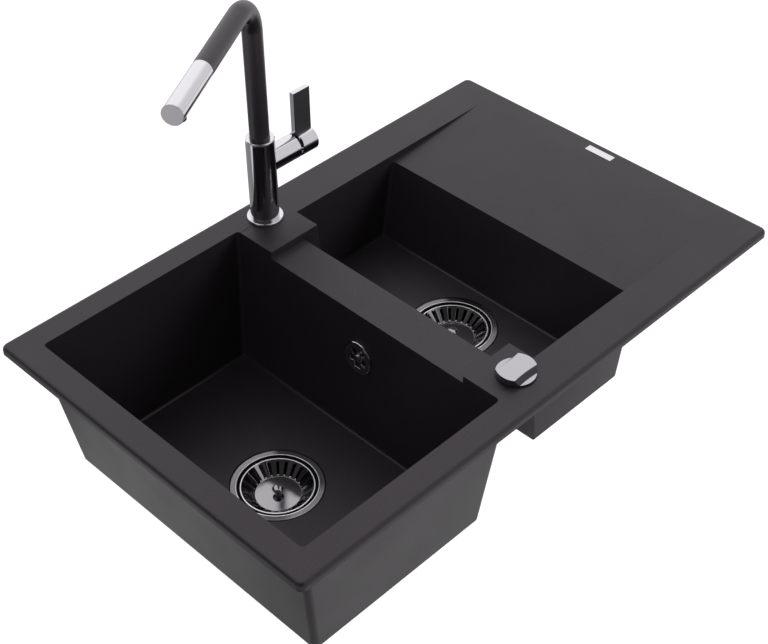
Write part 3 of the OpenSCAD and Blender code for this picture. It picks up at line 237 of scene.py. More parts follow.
def stone_composite():
    """Quartz and acrylic stone composite, moulded: a black, matt, fine grained face with faint sparkle."""
    material, tree, shader = surface("quartz_composite_moulded", IOR=1.5, Specular_Tint=DARK_TINT)
    place = add(tree, "ShaderNodeTexCoord").outputs["Object"]
    # Real grit is about 0.3 mm; drawn at 1.4 mm so that it shows at the picture's size
    grains = {"Vector": place, "Scale": 1 / (1.4 * MM), "Detail": 3.0, "Roughness": 0.7}
    grit = add(tree, "ShaderNodeTexNoise", grains).outputs["Fac"]
    black = [(0.3, linear("#131113")), (0.5, linear("#1d1a1d")), (0.75, linear("#2d292d"))]
    shades = add(tree, "ShaderNodeValToRGB", {"Fac": grit}, black).outputs["Color"]
    # A quartz crystal near the face every 9 mm or so, drawn 0.9 mm wide
    crystals = add(tree, "ShaderNodeTexVoronoi", {"Vector": place, "Scale": 1 / (9 * MM)}).outputs
    limits = {"Value": crystals["Distance"], "From Min": 0.03, "From Max": 0.07, "To Min": 0.6, "To Max": 0.0}
    spark = add(tree, "ShaderNodeMapRange", limits).outputs["Result"]
    sparkling = {"Fac": spark, "Color1": shades, "Color2": linear("#5c5a5c")}
    # Patches of about 60 mm are a little more or less matt
    patches = {"Vector": place, "Scale": 1 / (60 * MM), "Detail": 2.0}
    cloud = add(tree, "ShaderNodeTexNoise", patches).outputs["Fac"]
    matt = {"Value": cloud, "To Min": 0.4, "To Max": 0.5}
    relief = {"Height": grit, "Distance": 0.04 * MM}
    feed(tree, shader, {"Base Color": add(tree, "ShaderNodeMixRGB", sparkling).outputs["Color"],
                        "Roughness": add(tree, "ShaderNodeMapRange", matt).outputs["Result"],
                        "Normal": add(tree, "ShaderNodeBump", relief).outputs["Normal"]})
    return material


def bright_metal(name, dull=0.05, colour="#dcd9de"):
    """Chromium plating, or steel polished as bright: a mirror with the faintest waves, 25 mm long."""
    material, tree, shader = surface(name, Base_Color=linear(colour), Metallic=1.0)
    place = add(tree, "ShaderNodeTexCoord").outputs["Object"]
    marks = {"Vector": place, "Scale": 1 / (25 * MM), "Detail": 1.0}
    waves = add(tree, "ShaderNodeTexNoise", marks).outputs["Fac"]
    gloss = {"Value": waves, "To Min": dull, "To Max": dull + 0.04}
    feed(tree, shader, {"Roughness": add(tree, "ShaderNodeMapRange", gloss).outputs["Result"]})
    return material


def round_brushed_steel():
    """Stainless steel pressing, brushed as it turned: fine rings that draw the highlights out, and a painted
    highlight and shade multiplied into the colour by sector round the ring.
    """
    material, tree, shader = surface("stainless_steel_brushed_round_painted_sectors", Metallic=1.0, Anisotropic=0.8)
    spot = add(tree, "ShaderNodeUVMap", uv_map="round").outputs["UV"]
    # Brushed rings are 0.1 mm apart; drawn at 0.6 mm. The map's V is the radius in tenths of a metre
    stretched = add(tree, "ShaderNodeMapping", {"Vector": spot, "Scale": (2.0, 170.0, 1.0)}).outputs["Vector"]
    rings = add(tree, "ShaderNodeTexNoise", {"Vector": stretched, "Scale": 1.0, "Detail": 3.0}).outputs["Fac"]
    steel = [(0.3, linear("#9a979b")), (0.7, linear("#b4b1b5"))]
    shades = add(tree, "ShaderNodeValToRGB", {"Fac": rings}, steel).outputs["Color"]
    # The colour is multiplied by the painted highlight and shade of each sector round the ring
    turn = add(tree, "ShaderNodeSeparateXYZ", {"Vector": spot}).outputs["X"]
    kept = [(share, grey(level)) for share, level in PAINTED_SECTORS]
    painted_sectors = add(tree, "ShaderNodeValToRGB", {"Fac": turn}, kept).outputs["Color"]
    shared = {"Fac": 1.0, "Color1": shades, "Color2": painted_sectors}
    satin = {"Value": rings, "To Min": 0.26, "To Max": 0.4}
    relief = {"Height": rings, "Distance": 0.008 * MM}
    way = add(tree, "ShaderNodeTangent", direction_type="UV_MAP", uv_map="round").outputs["Tangent"]
    feed(tree, shader, {
        "Base Color": add(tree, "ShaderNodeMixRGB", shared, blend_type="MULTIPLY").outputs["Color"],
        "Roughness": add(tree, "ShaderNodeMapRange", satin).outputs["Result"],
        "Normal": add(tree, "ShaderNodeBump", relief).outputs["Normal"],
        "Tangent": way})
    return material


def brushed_steel(name, colour="#b9b9bb", dull=0.24):
    """Stainless steel sheet, pressed and brushed: fine scratches and a soft, long highlight."""
    material, tree, shader = surface(name, Base_Color=linear(colour), Metallic=1.0)
    place = add(tree, "ShaderNodeTexCoord").outputs["Object"]
    # Real scratches are under 0.05 mm wide; drawn 0.5 mm wide and 6 mm long
    stretched = add(tree, "ShaderNodeMapping", {"Vector": place, "Scale": (1.0, 12.0, 12.0)})
    lines = {"Vector": stretched.outputs["Vector"], "Scale": 1 / (6 * MM), "Detail": 3.0}
    scratches = add(tree, "ShaderNodeTexNoise", lines).outputs["Fac"]
    satin = {"Value": scratches, "To Min": dull - 0.05, "To Max": dull + 0.08}
    relief = {"Height": scratches, "Distance": 0.01 * MM}
    feed(tree, shader, {"Roughness": add(tree, "ShaderNodeMapRange", satin).outputs["Result"],
                        "Normal": add(tree, "ShaderNodeBump", relief).outputs["Normal"]})
    return material


def black_lacquer(name, colour, dull):
    """Satin black powder lacquer on metal: an even dark face with a broad highlight and fine orange peel."""
    material, tree, shader = surface(name, Base_Color=linear(colour), IOR=1.5, Specular_Tint=DARK_TINT)
    place = add(tree, "ShaderNodeTexCoord").outputs["Object"]
    peel = add(tree, "ShaderNodeTexNoise", {"Vector": place, "Scale": 1 / (1.5 * MM)}).outputs["Fac"]
    satin = {"Value": peel, "To Min": dull - 0.03, "To Max": dull + 0.03}
    relief = {"Height": peel, "Distance": 0.012 * MM}
    feed(tree, shader, {"Roughness": add(tree, "ShaderNodeMapRange", satin).outputs["Result"],
                        "Normal": add(tree, "ShaderNodeBump", relief).outputs["Normal"]})
    return material


def rubber(name, colour="#1d1d1e", bloomed="#2c2c2d", shine=0.5):
    """EPDM rubber, moulded: a dull black with a fine bloom."""
    material, tree, shader = surface(name, IOR=1.5, Specular_IOR_Level=shine)
    place = add(tree, "ShaderNodeTexCoord").outputs["Object"]
    # The bloom lies in patches of about 3 mm
    patches = {"Vector": place, "Scale": 1 / (3 * MM), "Detail": 3.0}
    bloom = add(tree, "ShaderNodeTexNoise", patches).outputs["Fac"]
    stops = [(0.3, linear(colour)), (0.8, linear(bloomed))]
    dull = {"Value": bloom, "To Min": 0.6, "To Max": 0.75}
    relief = {"Height": bloom, "Distance": 0.02 * MM}
    feed(tree, shader, {"Base Color": add(tree, "ShaderNodeValToRGB", {"Fac": bloom}, stops).outputs["Color"],
                        "Roughness": add(tree, "ShaderNodeMapRange", dull).outputs["Result"],
                        "Normal": add(tree, "ShaderNodeBump", relief).outputs["Normal"]})
    return material


def seal_foam():
    """PVC foam strip, extruded: closed cells of about a millimetre in a matt dark grey."""
    material, tree, shader = surface("pvc_foam_strip", Roughness=0.9, IOR=1.45)
    place = add(tree, "ShaderNodeTexCoord").outputs["Object"]
    cells = add(tree, "ShaderNodeTexVoronoi", {"Vector": place, "Scale": 1 / (1.2 * MM)}).outputs["Distance"]
    stops = [(0.0, linear("#2b2b2c")), (1.0, linear("#454547"))]
    relief = {"Height": cells, "Distance": 0.2 * MM}
    feed(tree, shader, {"Base Color": add(tree, "ShaderNodeValToRGB", {"Fac": cells}, stops).outputs["Color"],
                        "Normal": add(tree, "ShaderNodeBump", relief).outputs["Normal"]})
    return material


def moulded_plastic(name, light, dark, dull=0.38):
    """Polypropylene or acetal, moulded: a slightly waxy face, a little uneven in gloss."""
    material, tree, shader = surface(name, IOR=1.49)
    place = add(tree, "ShaderNodeTexCoord").outputs["Object"]
    # The melt's flow marks are about 18 mm long. The mould's spark-worn grains are about 0.1 mm wide, and
    # drawn at 1.2 mm
    marks = {"Vector": place, "Scale": 1 / (18 * MM), "Detail": 3.0}
    flow = add(tree, "ShaderNodeTexNoise", marks).outputs["Fac"]
    grains = add(tree, "ShaderNodeTexNoise", {"Vector": place, "Scale": 1 / (1.2 * MM)}).outputs["Fac"]
    stops = [(0.3, linear(dark)), (0.7, linear(light))]
    waxy = {"Value": flow, "To Min": dull - 0.04, "To Max": dull + 0.08}
    relief = {"Height": grains, "Distance": 0.015 * MM}
    feed(tree, shader, {"Base Color": add(tree, "ShaderNodeValToRGB", {"Fac": flow}, stops).outputs["Color"],
                        "Roughness": add(tree, "ShaderNodeMapRange", waxy).outputs["Result"],
                        "Normal": add(tree, "ShaderNodeBump", relief).outputs["Normal"]})
    return material


def braided_steel():
    """Stainless steel wire braid: bright ribs with dark dips between them, 0.9 mm apart."""
    material, tree, shader = surface("stainless_steel_braid", Metallic=1.0)
    place = add(tree, "ShaderNodeTexCoord").outputs["Object"]
    wires = add(tree, "ShaderNodeTexVoronoi", {"Vector": place, "Scale": 1 / (0.9 * MM)}).outputs["Distance"]
    stops = [(0.1, linear("#b5b5b7")), (0.8, linear("#5f5f61"))]
    gloss = {"Value": wires, "To Min": 0.25, "To Max": 0.5}
    relief = {"Height": wires, "Distance": -0.1 * MM}
    feed(tree, shader, {"Base Color": add(tree, "ShaderNodeValToRGB", {"Fac": wires}, stops).outputs["Color"],
                        "Roughness": add(tree, "ShaderNodeMapRange", gloss).outputs["Result"],
                        "Normal": add(tree, "ShaderNodeBump", relief).outputs["Normal"]})
    return material


def brass():
    """Turned brass, unplated: warm yellow with a little tarnish in 8 mm blotches."""
    material, tree, shader = surface("turned_brass", Metallic=1.0)
    place = add(tree, "ShaderNodeTexCoord").outputs["Object"]
    blotches = {"Vector": place, "Scale": 1 / (8 * MM), "Detail": 4.0}
    tarnish = add(tree, "ShaderNodeTexNoise", blotches).outputs["Fac"]
    stops = [(0.3, linear("#b8975a")), (0.7, linear("#d8bb7c"))]
    gloss = {"Value": tarnish, "To Min": 0.3, "To Max": 0.42}
    shades = add(tree, "ShaderNodeValToRGB", {"Fac": tarnish}, stops).outputs["Color"]
    feed(tree, shader, {"Base Color": shades,
                        "Roughness": add(tree, "ShaderNodeMapRange", gloss).outputs["Result"]})
    return material


def zinc_steel():
    """Zinc plated steel, pressed: grey with crystalline blotches, 3 mm wide."""
    material, tree, shader = surface("zinc_plated_steel", Metallic=1.0)
    place = add(tree, "ShaderNodeTexCoord").outputs["Object"]
    flakes = add(tree, "ShaderNodeTexVoronoi", {"Vector": place, "Scale": 1 / (3 * MM)}).outputs
    stops = [(0.0, linear("#a5a7a9")), (1.0, linear("#c6c8ca"))]
    shades = add(tree, "ShaderNodeValToRGB", {"Fac": flakes["Color"]}, stops).outputs["Color"]
    gloss = {"Value": flakes["Distance"], "To Min": 0.32, "To Max": 0.48}
    feed(tree, shader, {"Base Color": shades,
                        "Roughness": add(tree, "ShaderNodeMapRange", gloss).outputs["Result"]})
    return material


MATERIALS = {
    "stone": stone_composite(),
    "chrome": bright_metal("chromium_plate_polished"),
    # The knob's plate is satin: a soft mirror. The flanks of its bar get painted shade: a duller, darker copy
    # of the chrome
    "knob_chrome": bright_metal("chromium_plate_satin", 0.16, "#b6b3b8"),
    "painted_shade_flank": bright_metal("chromium_plate_painted_shade_flank", 0.26, "#484548"),
    # Rolled edges gather light from all round into a thin bright line; their near-white colour, brighter than
    # steel, adds a painted highlight
    "bead": bright_metal("stainless_steel_rolled_edge_painted_highlight", 0.3, "#fffcff"),
    "steel": brushed_steel("stainless_steel_brushed"),
    # The flanges' ring carries a painted highlight and shade by sector round it
    "round_steel_painted_sectors": round_brushed_steel(),
    "basket_steel": brushed_steel("stainless_steel_polished", "#a09da1", 0.08),
    "braid": braided_steel(),
    # Fine blasting spreads the spray head's end to an even grey
    "end_disc": brushed_steel("stainless_steel_fine_blasted", "#b6b3b8", 0.36),
    "lacquer": black_lacquer("black_powder_lacquer_satin", "#2b282c", 0.34),
    "face": black_lacquer("black_lacquer_fine", "#323134", 0.42),
    "rubber": rubber("epdm_rubber_moulded"),
    # The lip seal is made near-black, darker than rubber: painted shade of the deep groove it lies in
    "lip": rubber("epdm_rubber_lip_painted_shade", "#040404", "#0a0a0a", 0.1),
    "nozzle": moulded_plastic("black_acetal_moulded", "#1f1f20", "#171718", 0.35),
    "foam": seal_foam(),
    "white_plastic": moulded_plastic("white_polypropylene_moulded", "#e9e9e6", "#e0e0dd"),
    "nut_plastic": moulded_plastic("grey_polypropylene_moulded", "#d3d3cf", "#c9c9c5", 0.42),
    "inner_plastic": moulded_plastic("natural_acetal_moulded", "#dcdbd3", "#d2d1c8", 0.3),
    "brass": brass(),
    "zinc": zinc_steel(),
}


# Which finish each carried over piece of the frame takes

FINISHES = {
    "stone": ["basin"],
    "chrome": ["badge_plate", "tap_base_ring", "tap_body", "tap_top_ring", "spray_head", "lever_collar",
               "lever_cap", "lever_blade", "overflow_cover", "overflow_screw"],
    "knob_chrome": ["waste_knob"],
    "round_steel_painted_sectors": ["waste_flanges"],
    "basket_steel": ["basket_big", "basket_small"],
    "braid": ["spray_hose"],
    "steel": ["spout_clip", "clamp_bolts", "lift_rod", "knob_spindle", "lever_pin", "lever_grub_screw",
              "lever_stem"],
    "end_disc": ["spray_end_cap"],
    "lacquer": ["spout_tube"],
    "face": ["lever_face"],
    "rubber": ["tap_base_gasket", "shank_gasket", "overflow_gasket", "flange_gaskets", "body_gaskets",
               "basket_plug_big", "basket_plug_small", "popup_cable"],
    "nozzle": ["spray_nozzle"],
    "foam": ["rim_seal"],
    "white_plastic": ["overflow_elbow", "overflow_pipe", "waste_body_big", "waste_body_small", "down_pipe",
                      "cross_pipe", "tee", "trap_head", "trap_cup", "outlet_pipe"],
    "nut_plastic": ["union_nuts", "knob_nut", "knob_housing", "knob_cover"],
    "inner_plastic": ["spout_bush", "spray_dock", "cartridge", "lever_carrier"],
    "brass": ["tap_shank", "shank_nut", "cartridge_nut"],
    "zinc": ["clip_brackets", "clip_screws", "shank_washer"],
}
FINISH_OF = {name: finish for finish, names in FINISHES.items() for name in names}


def dress_frame():
    """Gives every node of the frame its finish, also those that a piece replaces below."""
    for name, finish in FINISH_OF.items():
        mesh = frame["nodes"][name].data
        mesh.materials.clear()
        mesh.materials.append(MATERIALS[finish])


# Pieces made from the frame's own shapes, with their edges rounded

# Angles between faces: an edge above SHARP is rounded, below FLAT dissolved, and below SMOOTH shaded over
SHARP = math.radians(30)
FLAT = math.radians(0.6)
SMOOTH = math.radians(40)
# Points closer than this, in metres, are one; edges shorter than this, in millimetres, stay sharp
SAME_POINT = 1e-6
SHORTEST = 0.2


def merged_copy(name):
    """A bmesh of a node of the frame, its loose triangles joined and flat stretches made whole."""
    shape = bmesh.new()
    shape.from_mesh(frame["nodes"][name].data)
    bmesh.ops.remove_doubles(shape, verts=shape.verts, dist=SAME_POINT)
    bmesh.ops.dissolve_limit(shape, angle_limit=FLAT, verts=shape.verts, edges=shape.edges)
    return shape


def round_edges(shape, width_mm, wanted, segments=2):
    """Bevels the edges that bend by more than the limit and that the caller wants."""
    edges = [e for e in shape.edges if len(e.link_faces) == 2 and e.calc_face_angle() > SHARP and wanted(e)]
    bmesh.ops.bevel(shape, geom=edges, offset=width_mm * MM, offset_type="OFFSET", segments=segments,
                    profile=0.5, affect="EDGES", clamp_overlap=True, loop_slide=True)


def place_piece(name, mesh, node, stands_for=()):
    """Puts a mesh in the scene as a piece: smooth, riding the node's body, in the node's finish."""
    piece = bpy.data.objects.new(name, mesh)
    bpy.context.scene.collection.objects.link(piece)
    if not mesh.materials:
        mesh.materials.append(MATERIALS[FINISH_OF[node]])
    mesh.shade_smooth()
    mesh.set_sharp_from_angle(angle=SMOOTH)
    weighted = piece.modifiers.new("even shading", "WEIGHTED_NORMAL")
    weighted.keep_sharp = True
    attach(piece, BODY_OF[node])
    if stands_for:
        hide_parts(*stands_for)
    return piece


def long_enough(edge):
    return edge.calc_length() > SHORTEST * MM


def rounded_node(node, width_mm, wanted=long_enough, segments=2):
    """The node's own shape with its edges rounded, standing for it."""
    shape = merged_copy(node)
    round_edges(shape, width_mm, wanted, segments)
    mesh = bpy.data.meshes.new(node + "_rounded")
    shape.to_mesh(mesh)
    shape.free()
    return place_piece(node + "_rounded", mesh, node, stands_for=[node])


# The basin's rounded edges: their radius, and the lowest height and the shortest length that take it
RIM_ROUND = 1.6
RIM_LOW = -4.0
RIM_SHORTEST = 3.0


def make_basin():
    """The basin, with the long edges of its rim and decks rounded."""
    def shown(edge):
        return min(v.co.z for v in edge.verts) > RIM_LOW * MM and edge.calc_length() > RIM_SHORTEST * MM
    rounded_node("basin", RIM_ROUND, shown, segments=3)


# Edge radius in millimetres of each piece, as it is turned, pressed or moulded
EDGES = {
    "badge_plate": 0.25, "tap_base_ring": 0.4, "tap_body": 0.4, "tap_top_ring": 0.3, "spray_head": 0.3,
    "lever_collar": 0.2, "lever_cap": 0.5, "lever_blade": 0.3, "lever_face": 0.15,
    "overflow_cover": 0.45, "overflow_screw": 0.4, "knob_housing": 0.4, "knob_nut": 0.8,
    "union_nuts": 0.8, "clip_brackets": 0.3, "clip_screws": 0.25, "shank_nut": 0.5, "tap_shank": 0.3,
    "tee": 0.6, "waste_body_big": 0.6, "waste_body_small": 0.6, "trap_head": 0.6, "down_pipe": 0.3,
    "cross_pipe": 0.3, "outlet_pipe": 0.3, "overflow_elbow": 0.4, "overflow_pipe": 0.3,
}


def make_rounded():
    for node, width_mm in EDGES.items():
        rounded_node(node, width_mm)


# Surfaces worked out on grids; all their sizes are in millimetres

UP = np.array([0.0, 0.0, 1.0])


def rounded_outline(corners, steps=4):
    """Outline of (radius, distance, fillet) corners. Each fillet is an arc that touches both sides: it starts
    fillet / tan(half the corner's angle) before the corner and sweeps evenly round its own centre."""
    rows = []
    for i, (radius, distance, fillet) in enumerate(corners):
        here = np.array([radius, distance], float)
        if fillet == 0:
            rows.append(here)
            continue
        before = np.array(corners[i - 1][:2], float) - here
        after = np.array(corners[(i + 1) % len(corners)][:2], float) - here
        before, after = before / np.linalg.norm(before), after / np.linalg.norm(after)
        half = np.arccos(np.clip(before @ after, -1, 1)) / 2
        middle = (before + after) / np.linalg.norm(before + after) * fillet / np.sin(half)
        first, last = before * fillet / np.tan(half) - middle, after * fillet / np.tan(half) - middle
        turn = np.pi - 2 * half
        share = np.linspace(0, 1, steps + 1)[:, None]
        sweep = (np.sin((1 - share) * turn) * first + np.sin(share * turn) * last) / np.sin(turn)
        rows.extend(here + middle + sweep)
    return np.array(rows)


def line_axis(origin, way=UP, hint=(0.0, 1.0, 0.0)):
    """Straight axis: the centre at distance s is origin + s * way, with u and v square to it and to each
    other."""
    u = np.cross(hint, way)
    u = u / np.linalg.norm(u)
    v = np.cross(way, u)

    def place(s):
        s = s[:, None]
        return np.array(origin) + s * way, u + 0 * s, v + 0 * s
    return place


def turned(outline, place, sides=96, swell=None):
    """Rows of (radius, distance) carried round an axis. Each point is centre(distance)
    + (radius + swell) * (cos a * u + sin a * v), with the angles a evenly round."""
    centre, u, v = place(outline[:, 1])
    angle = np.arange(sides) * 2 * np.pi / sides
    radius = outline[:, :1] + 0 * angle
    if swell:
        radius = radius + swell(angle[None, :], outline[:, :1], outline[:, 1:])
    way = np.cos(angle)[None, :, None] * u[:, None] + np.sin(angle)[None, :, None] * v[:, None]
    return centre[:, None] + radius[..., None] * way


def grid(places, closed=False, kept=None):
    """Points, quads and map spots of a grid whose columns meet round, and its rows too when closed. Spots are
    shares of the way round and along. kept(row, column) tells which cells stay."""
    rows, columns = places.shape[:2]
    row, column = np.meshgrid(np.arange(rows if closed else rows - 1), np.arange(columns), indexing="ij")
    step = np.array([(0, 0), (0, 1), (1, 1), (1, 0)])
    r, c = row[..., None] + step[:, 0], column[..., None] + step[:, 1]
    quads = (r % rows) * columns + c % columns
    spots = np.stack([c / columns, r / rows], axis=-1)
    stay = kept(row, column) if kept else np.full(row.shape, True)
    return places.reshape(-1, 3), quads[stay], spots[stay].reshape(-1, 2)


def grid_mesh(name, grids):
    """One mesh of several grids, with poles closed to points."""
    starts = np.cumsum([0] + [len(points) for points, _, _ in grids])
    points = np.concatenate([g[0] for g in grids]) * MM
    quads = np.concatenate([g[1] + start for g, start in zip(grids, starts)])
    mesh = bpy.data.meshes.new(name)
    mesh.from_pydata(points, [], quads.tolist())
    spots = mesh.uv_layers.new(name="round")
    spots.data.foreach_set("uv", np.concatenate([g[2] for g in grids]).ravel())
    shape = bmesh.new()
    shape.from_mesh(mesh)
    bmesh.ops.remove_doubles(shape, verts=shape.verts, dist=SAME_POINT)
    shape.to_mesh(mesh)
    shape.free()
    return mesh


def grid_piece(name, grids, node, stands_for=()):
    return place_piece(name, grid_mesh(name, grids), node, stands_for=stands_for)


# The tap's spout: mast, bend and level arm on one axis

RIM_TOP = 10.0
TAP_AT = np.array([-21.2, 211.25, RIM_TOP])
# The arm is turned this far from the front towards the left
ARM_TURN = math.radians(60)
ARM_WAY = np.array([-math.sin(ARM_TURN), -math.cos(ARM_TURN), 0.0])
ARM_SIDE = np.cross(ARM_WAY, UP)
ARM_HEIGHT = 303.8
BEND_R = 42.0
BEND_FROM = ARM_HEIGHT - BEND_R
BEND_L = BEND_R * math.pi / 2
SPOUT_R = 12.2
SPOUT_BORE = 10.7
SPOUT_FOOT = 75.7
STRAIGHT_END = 155.3
REACH = 243.3
CAP_T = 1.8
CAP_LIP = 1.2
NOZZLE_FROM_END = 17.5
NOZZLE_R = 7.4
NOZZLE_LOW = 15.6
JETS = 12
JET_RING_R = 4.1
# Clearance all round of a piece pushed into its bore
FIT = 0.05
HOSE_FROM = 48.0
HOSE_R = 5.4
HOSE_BORE = 3.8
HOSE_ROWS = 150
# The braid's ribs: how many of each slant, how high, the room left for them, and one turn's length
BRAID_RIBS = 6
BRAID_H = 0.38
BRAID_ROOM = 0.4
BRAID_TURN = 30


def spout_axis(s):
    """Axis at distance s above the rim, up the mast, round the bend and out along the arm. In the arm's
    upright plane its way is (sin t, cos t), where t goes evenly from 0 to a quarter turn in the bend."""
    t = np.clip((s - BEND_FROM) / BEND_R, 0, math.pi / 2)
    out = BEND_R * (1 - np.cos(t)) + np.clip(s - BEND_FROM - BEND_L, 0, None)
    up = np.minimum(s, BEND_FROM) + BEND_R * np.sin(t)
    way = np.sin(t)[:, None] * ARM_WAY + np.cos(t)[:, None] * UP
    u = ARM_SIDE + 0 * way
    return TAP_AT + out[:, None] * ARM_WAY + up[:, None] * UP, u, np.cross(way, u)


def arm_axis(from_tap):
    """The arm's straight axis, counted from that distance out from the tap."""
    return line_axis(TAP_AT + ARM_HEIGHT * UP + from_tap * ARM_WAY, ARM_WAY, hint=UP)


def make_spout():
    """Pipe along the spout's axis, with more rings in the bend and a rounded outer lip at the open end."""
    bend_to = BEND_FROM + BEND_L
    end = bend_to + STRAIGHT_END - BEND_R
    mast = np.linspace(SPOUT_FOOT, BEND_FROM, 16)
    bend = np.linspace(BEND_FROM, bend_to, 49)[1:]
    arm = np.linspace(bend_to, end - 0.5, 10)[1:]
    stations = np.concatenate([mast, bend, arm])
    outside = np.stack([np.full(len(stations), SPOUT_R), stations], axis=-1)
    lip = rounded_outline([(SPOUT_R, end - 1, 0), (SPOUT_R, end, 0.4), (SPOUT_BORE, end, 0)])[1:]
    inside = outside[::-1] + (SPOUT_BORE - SPOUT_R, 0)
    pipe = turned(np.concatenate([outside, lip, inside]), spout_axis, 72)
    grid_piece("spout_pipe", [grid(pipe, closed=True)], "spout_tube", ["spout_tube"])


def make_end_cap():
    """Disc with a turned edge, and a lip inside the spray head."""
    lip_r, lip_low = SPOUT_BORE - FIT, -CAP_T - CAP_LIP
    outline = rounded_outline([(0, lip_low, 0), (lip_r, lip_low, 0.2), (lip_r, -CAP_T, 0),
                               (SPOUT_R, -CAP_T, 0.15), (SPOUT_R, 0, 0.45), (0, 0, 0)])
    cap = grid(turned(outline, arm_axis(REACH)))
    grid_piece("spray_end_disc", [cap], "spray_end_cap", ["spray_end_cap"])


def make_nozzle():
    """Outlet with a raised edge, a middle hole and a ring of small jets, pointing down from the arm."""
    at = TAP_AT + ARM_HEIGHT * UP + (REACH - NOZZLE_FROM_END) * ARM_WAY
    face, outer = NOZZLE_LOW - 0.8, NOZZLE_R - FIT
    outline = rounded_outline([(0, 2, 0), (outer, 2, 0.3), (outer, NOZZLE_LOW, 0.6), (6.3, NOZZLE_LOW, 0.25),
                               (5.9, face, 0.2), (2, face, 0.3), (1.8, face - 4, 0.3), (0, face - 4, 0)])
    foot = face - 0.5
    jet = rounded_outline([(0, foot, 0), (0.75, foot, 0), (0.5, NOZZLE_LOW, 0.15), (0, NOZZLE_LOW, 0)], 2)
    jets = []
    for k in range(JETS):
        angle = 2 * math.pi * k / JETS
        spot = at + JET_RING_R * (math.cos(angle) * ARM_WAY + math.sin(angle) * ARM_SIDE)
        jets.append(grid(turned(jet, line_axis(spot, -UP), 12)))
    body = grid(turned(outline, line_axis(at, -UP), 64))
    grid_piece("spray_outlet", [body] + jets, "spray_nozzle", ["spray_nozzle"])


def make_hose():
    """Braided hose: its radius swells by the higher of two sets of slanting ribs, |sin(n (a + t))| and
    |sin(n (a - t))|, with n ribs round the angle a, and t a full turn in each length BRAID_TURN."""
    stations = np.linspace(0, STRAIGHT_END + 2 - HOSE_FROM, HOSE_ROWS)
    outside = np.stack([np.full(HOSE_ROWS, HOSE_R - BRAID_ROOM), stations], axis=-1)
    outline = np.concatenate([outside, outside[::-1] + (HOSE_BORE - HOSE_R + BRAID_ROOM, 0)])

    def ribs(angle, radius, s):
        turn = 2 * math.pi * s / BRAID_TURN
        slants = np.abs(np.sin(BRAID_RIBS * (angle + turn))), np.abs(np.sin(BRAID_RIBS * (angle - turn)))
        return np.where(radius > HOSE_BORE + 0.1, BRAID_H * np.maximum(*slants), 0)
    hose = turned(outline, arm_axis(HOSE_FROM), 72, ribs)
    grid_piece("spray_hose_braid", [grid(hose, closed=True)], "spray_hose", ["spray_hose"])


# The wastes: the knob, flanges brushed round, slotted baskets with grips, and seals between them painted
# near-black as the groove's shade

# Middle of each waste at its bowl's floor; the heights below count from there
WASTES = {"big": (-201.7, 5.75, -181.0), "small": (87.0, -6.65, -107.0)}
BASKET_R = 44.9
BASKET_TOP = -1.3
BASKET_FLOOR = -15.3
BASKET_LOW_R = 27.9
BASKET_MOUTH_R = 43.4
FLOOR_RISE = 0.8
SHEET = 0.9
# The basket's slots: how many, the cells of the grid for each and how many of these are open, and the shares
# of the way down the wall where they start and end
SLOTS = 24
CELLS = 8
OPEN_CELLS = 3
SLOT_FROM = 0.16
SLOT_TO = 0.9
# Edge radii, and which faces are the flanks of the knob's bar that get painted shade: how much they face the
# front or the back and how much upwards, and how far they lie below the top
KNOB_EDGE = 0.45
FLANGE_EDGE = 0.35
FLANK_OUT = 0.6
FLANK_UP = 0.2
FLANK_BELOW = 0.5
# Rolled edges: their height, and for each the middle's radius, half the width and the top
BEAD_H = 1.3
FLANGE_BEAD = (49.6, 0.7, 0.1)
BASKET_BEAD = (44.1, 0.9, BASKET_TOP + 0.1)
# The lip seal's inner and outer radius, low and top
SEAL = (45.3, 49.1, -2.75, -1.9)


def map_round(mesh):
    """Map for the brushing: U is the share of the way round the nearer waste, and V the radius in tenths of
    a metre."""
    place = np.empty(len(mesh.vertices) * 3)
    mesh.vertices.foreach_get("co", place)
    place = place.reshape(-1, 3) / MM
    offsets = np.stack([place[:, :2] - np.array(at[:2]) for at in WASTES.values()])
    radii = np.linalg.norm(offsets, axis=-1)
    nearer = radii.argmin(axis=0), np.arange(len(place))
    offset, radius = offsets[nearer], radii[nearer]
    share = np.arctan2(offset[:, 1], offset[:, 0]) / (2 * np.pi) + 0.5
    corner = np.empty(len(mesh.loops), int)
    mesh.loops.foreach_get("vertex_index", corner)
    spots = mesh.uv_layers.new(name="round")
    # U also sets where the ring's painted highlight and shade fall
    spots.data.foreach_set("uv", np.stack([share, radius * MM * 10], axis=-1)[corner].ravel())


def make_knob():
    """The knob, with painted shade on the flanks of its bar: a duller, darker copy of the chrome."""
    mesh = rounded_node("waste_knob", KNOB_EDGE).data
    mesh.materials.append(MATERIALS["painted_shade_flank"])
    count = len(mesh.polygons)
    way, middle = np.empty(count * 3), np.empty(count * 3)
    mesh.polygons.foreach_get("normal", way)
    mesh.polygons.foreach_get("center", middle)
    way, height = way.reshape(-1, 3), middle.reshape(-1, 3)[:, 2]
    # Faces of the bar's flanks, below its top, take the painted shade
    sloped = (np.abs(way[:, 1]) > FLANK_OUT) & (way[:, 2] > FLANK_UP)
    painted_shade_flank = sloped & (height < height.max() - FLANK_BELOW * MM)
    mesh.polygons.foreach_set("material_index", painted_shade_flank.astype(int))


def make_flanges():
    map_round(rounded_node("waste_flanges", FLANGE_EDGE).data)


def make_bead(name, node, axis, middle, half_w, top):
    """A ring round the axis: a rounded rectangle, half_w to each side of the middle and BEAD_H deep."""
    low, out, inside = top - BEAD_H, middle + half_w, middle - half_w
    ring = rounded_outline([(inside, low, 0.3), (out, low, 0.3), (out, top, 0.45), (inside, top, 0.45)])
    bead = grid_piece(name, [grid(turned(ring, axis), closed=True)], node)
    # Near-white steel: a painted highlight on the rolled edge
    bead.data.materials[0] = MATERIALS["bead"]


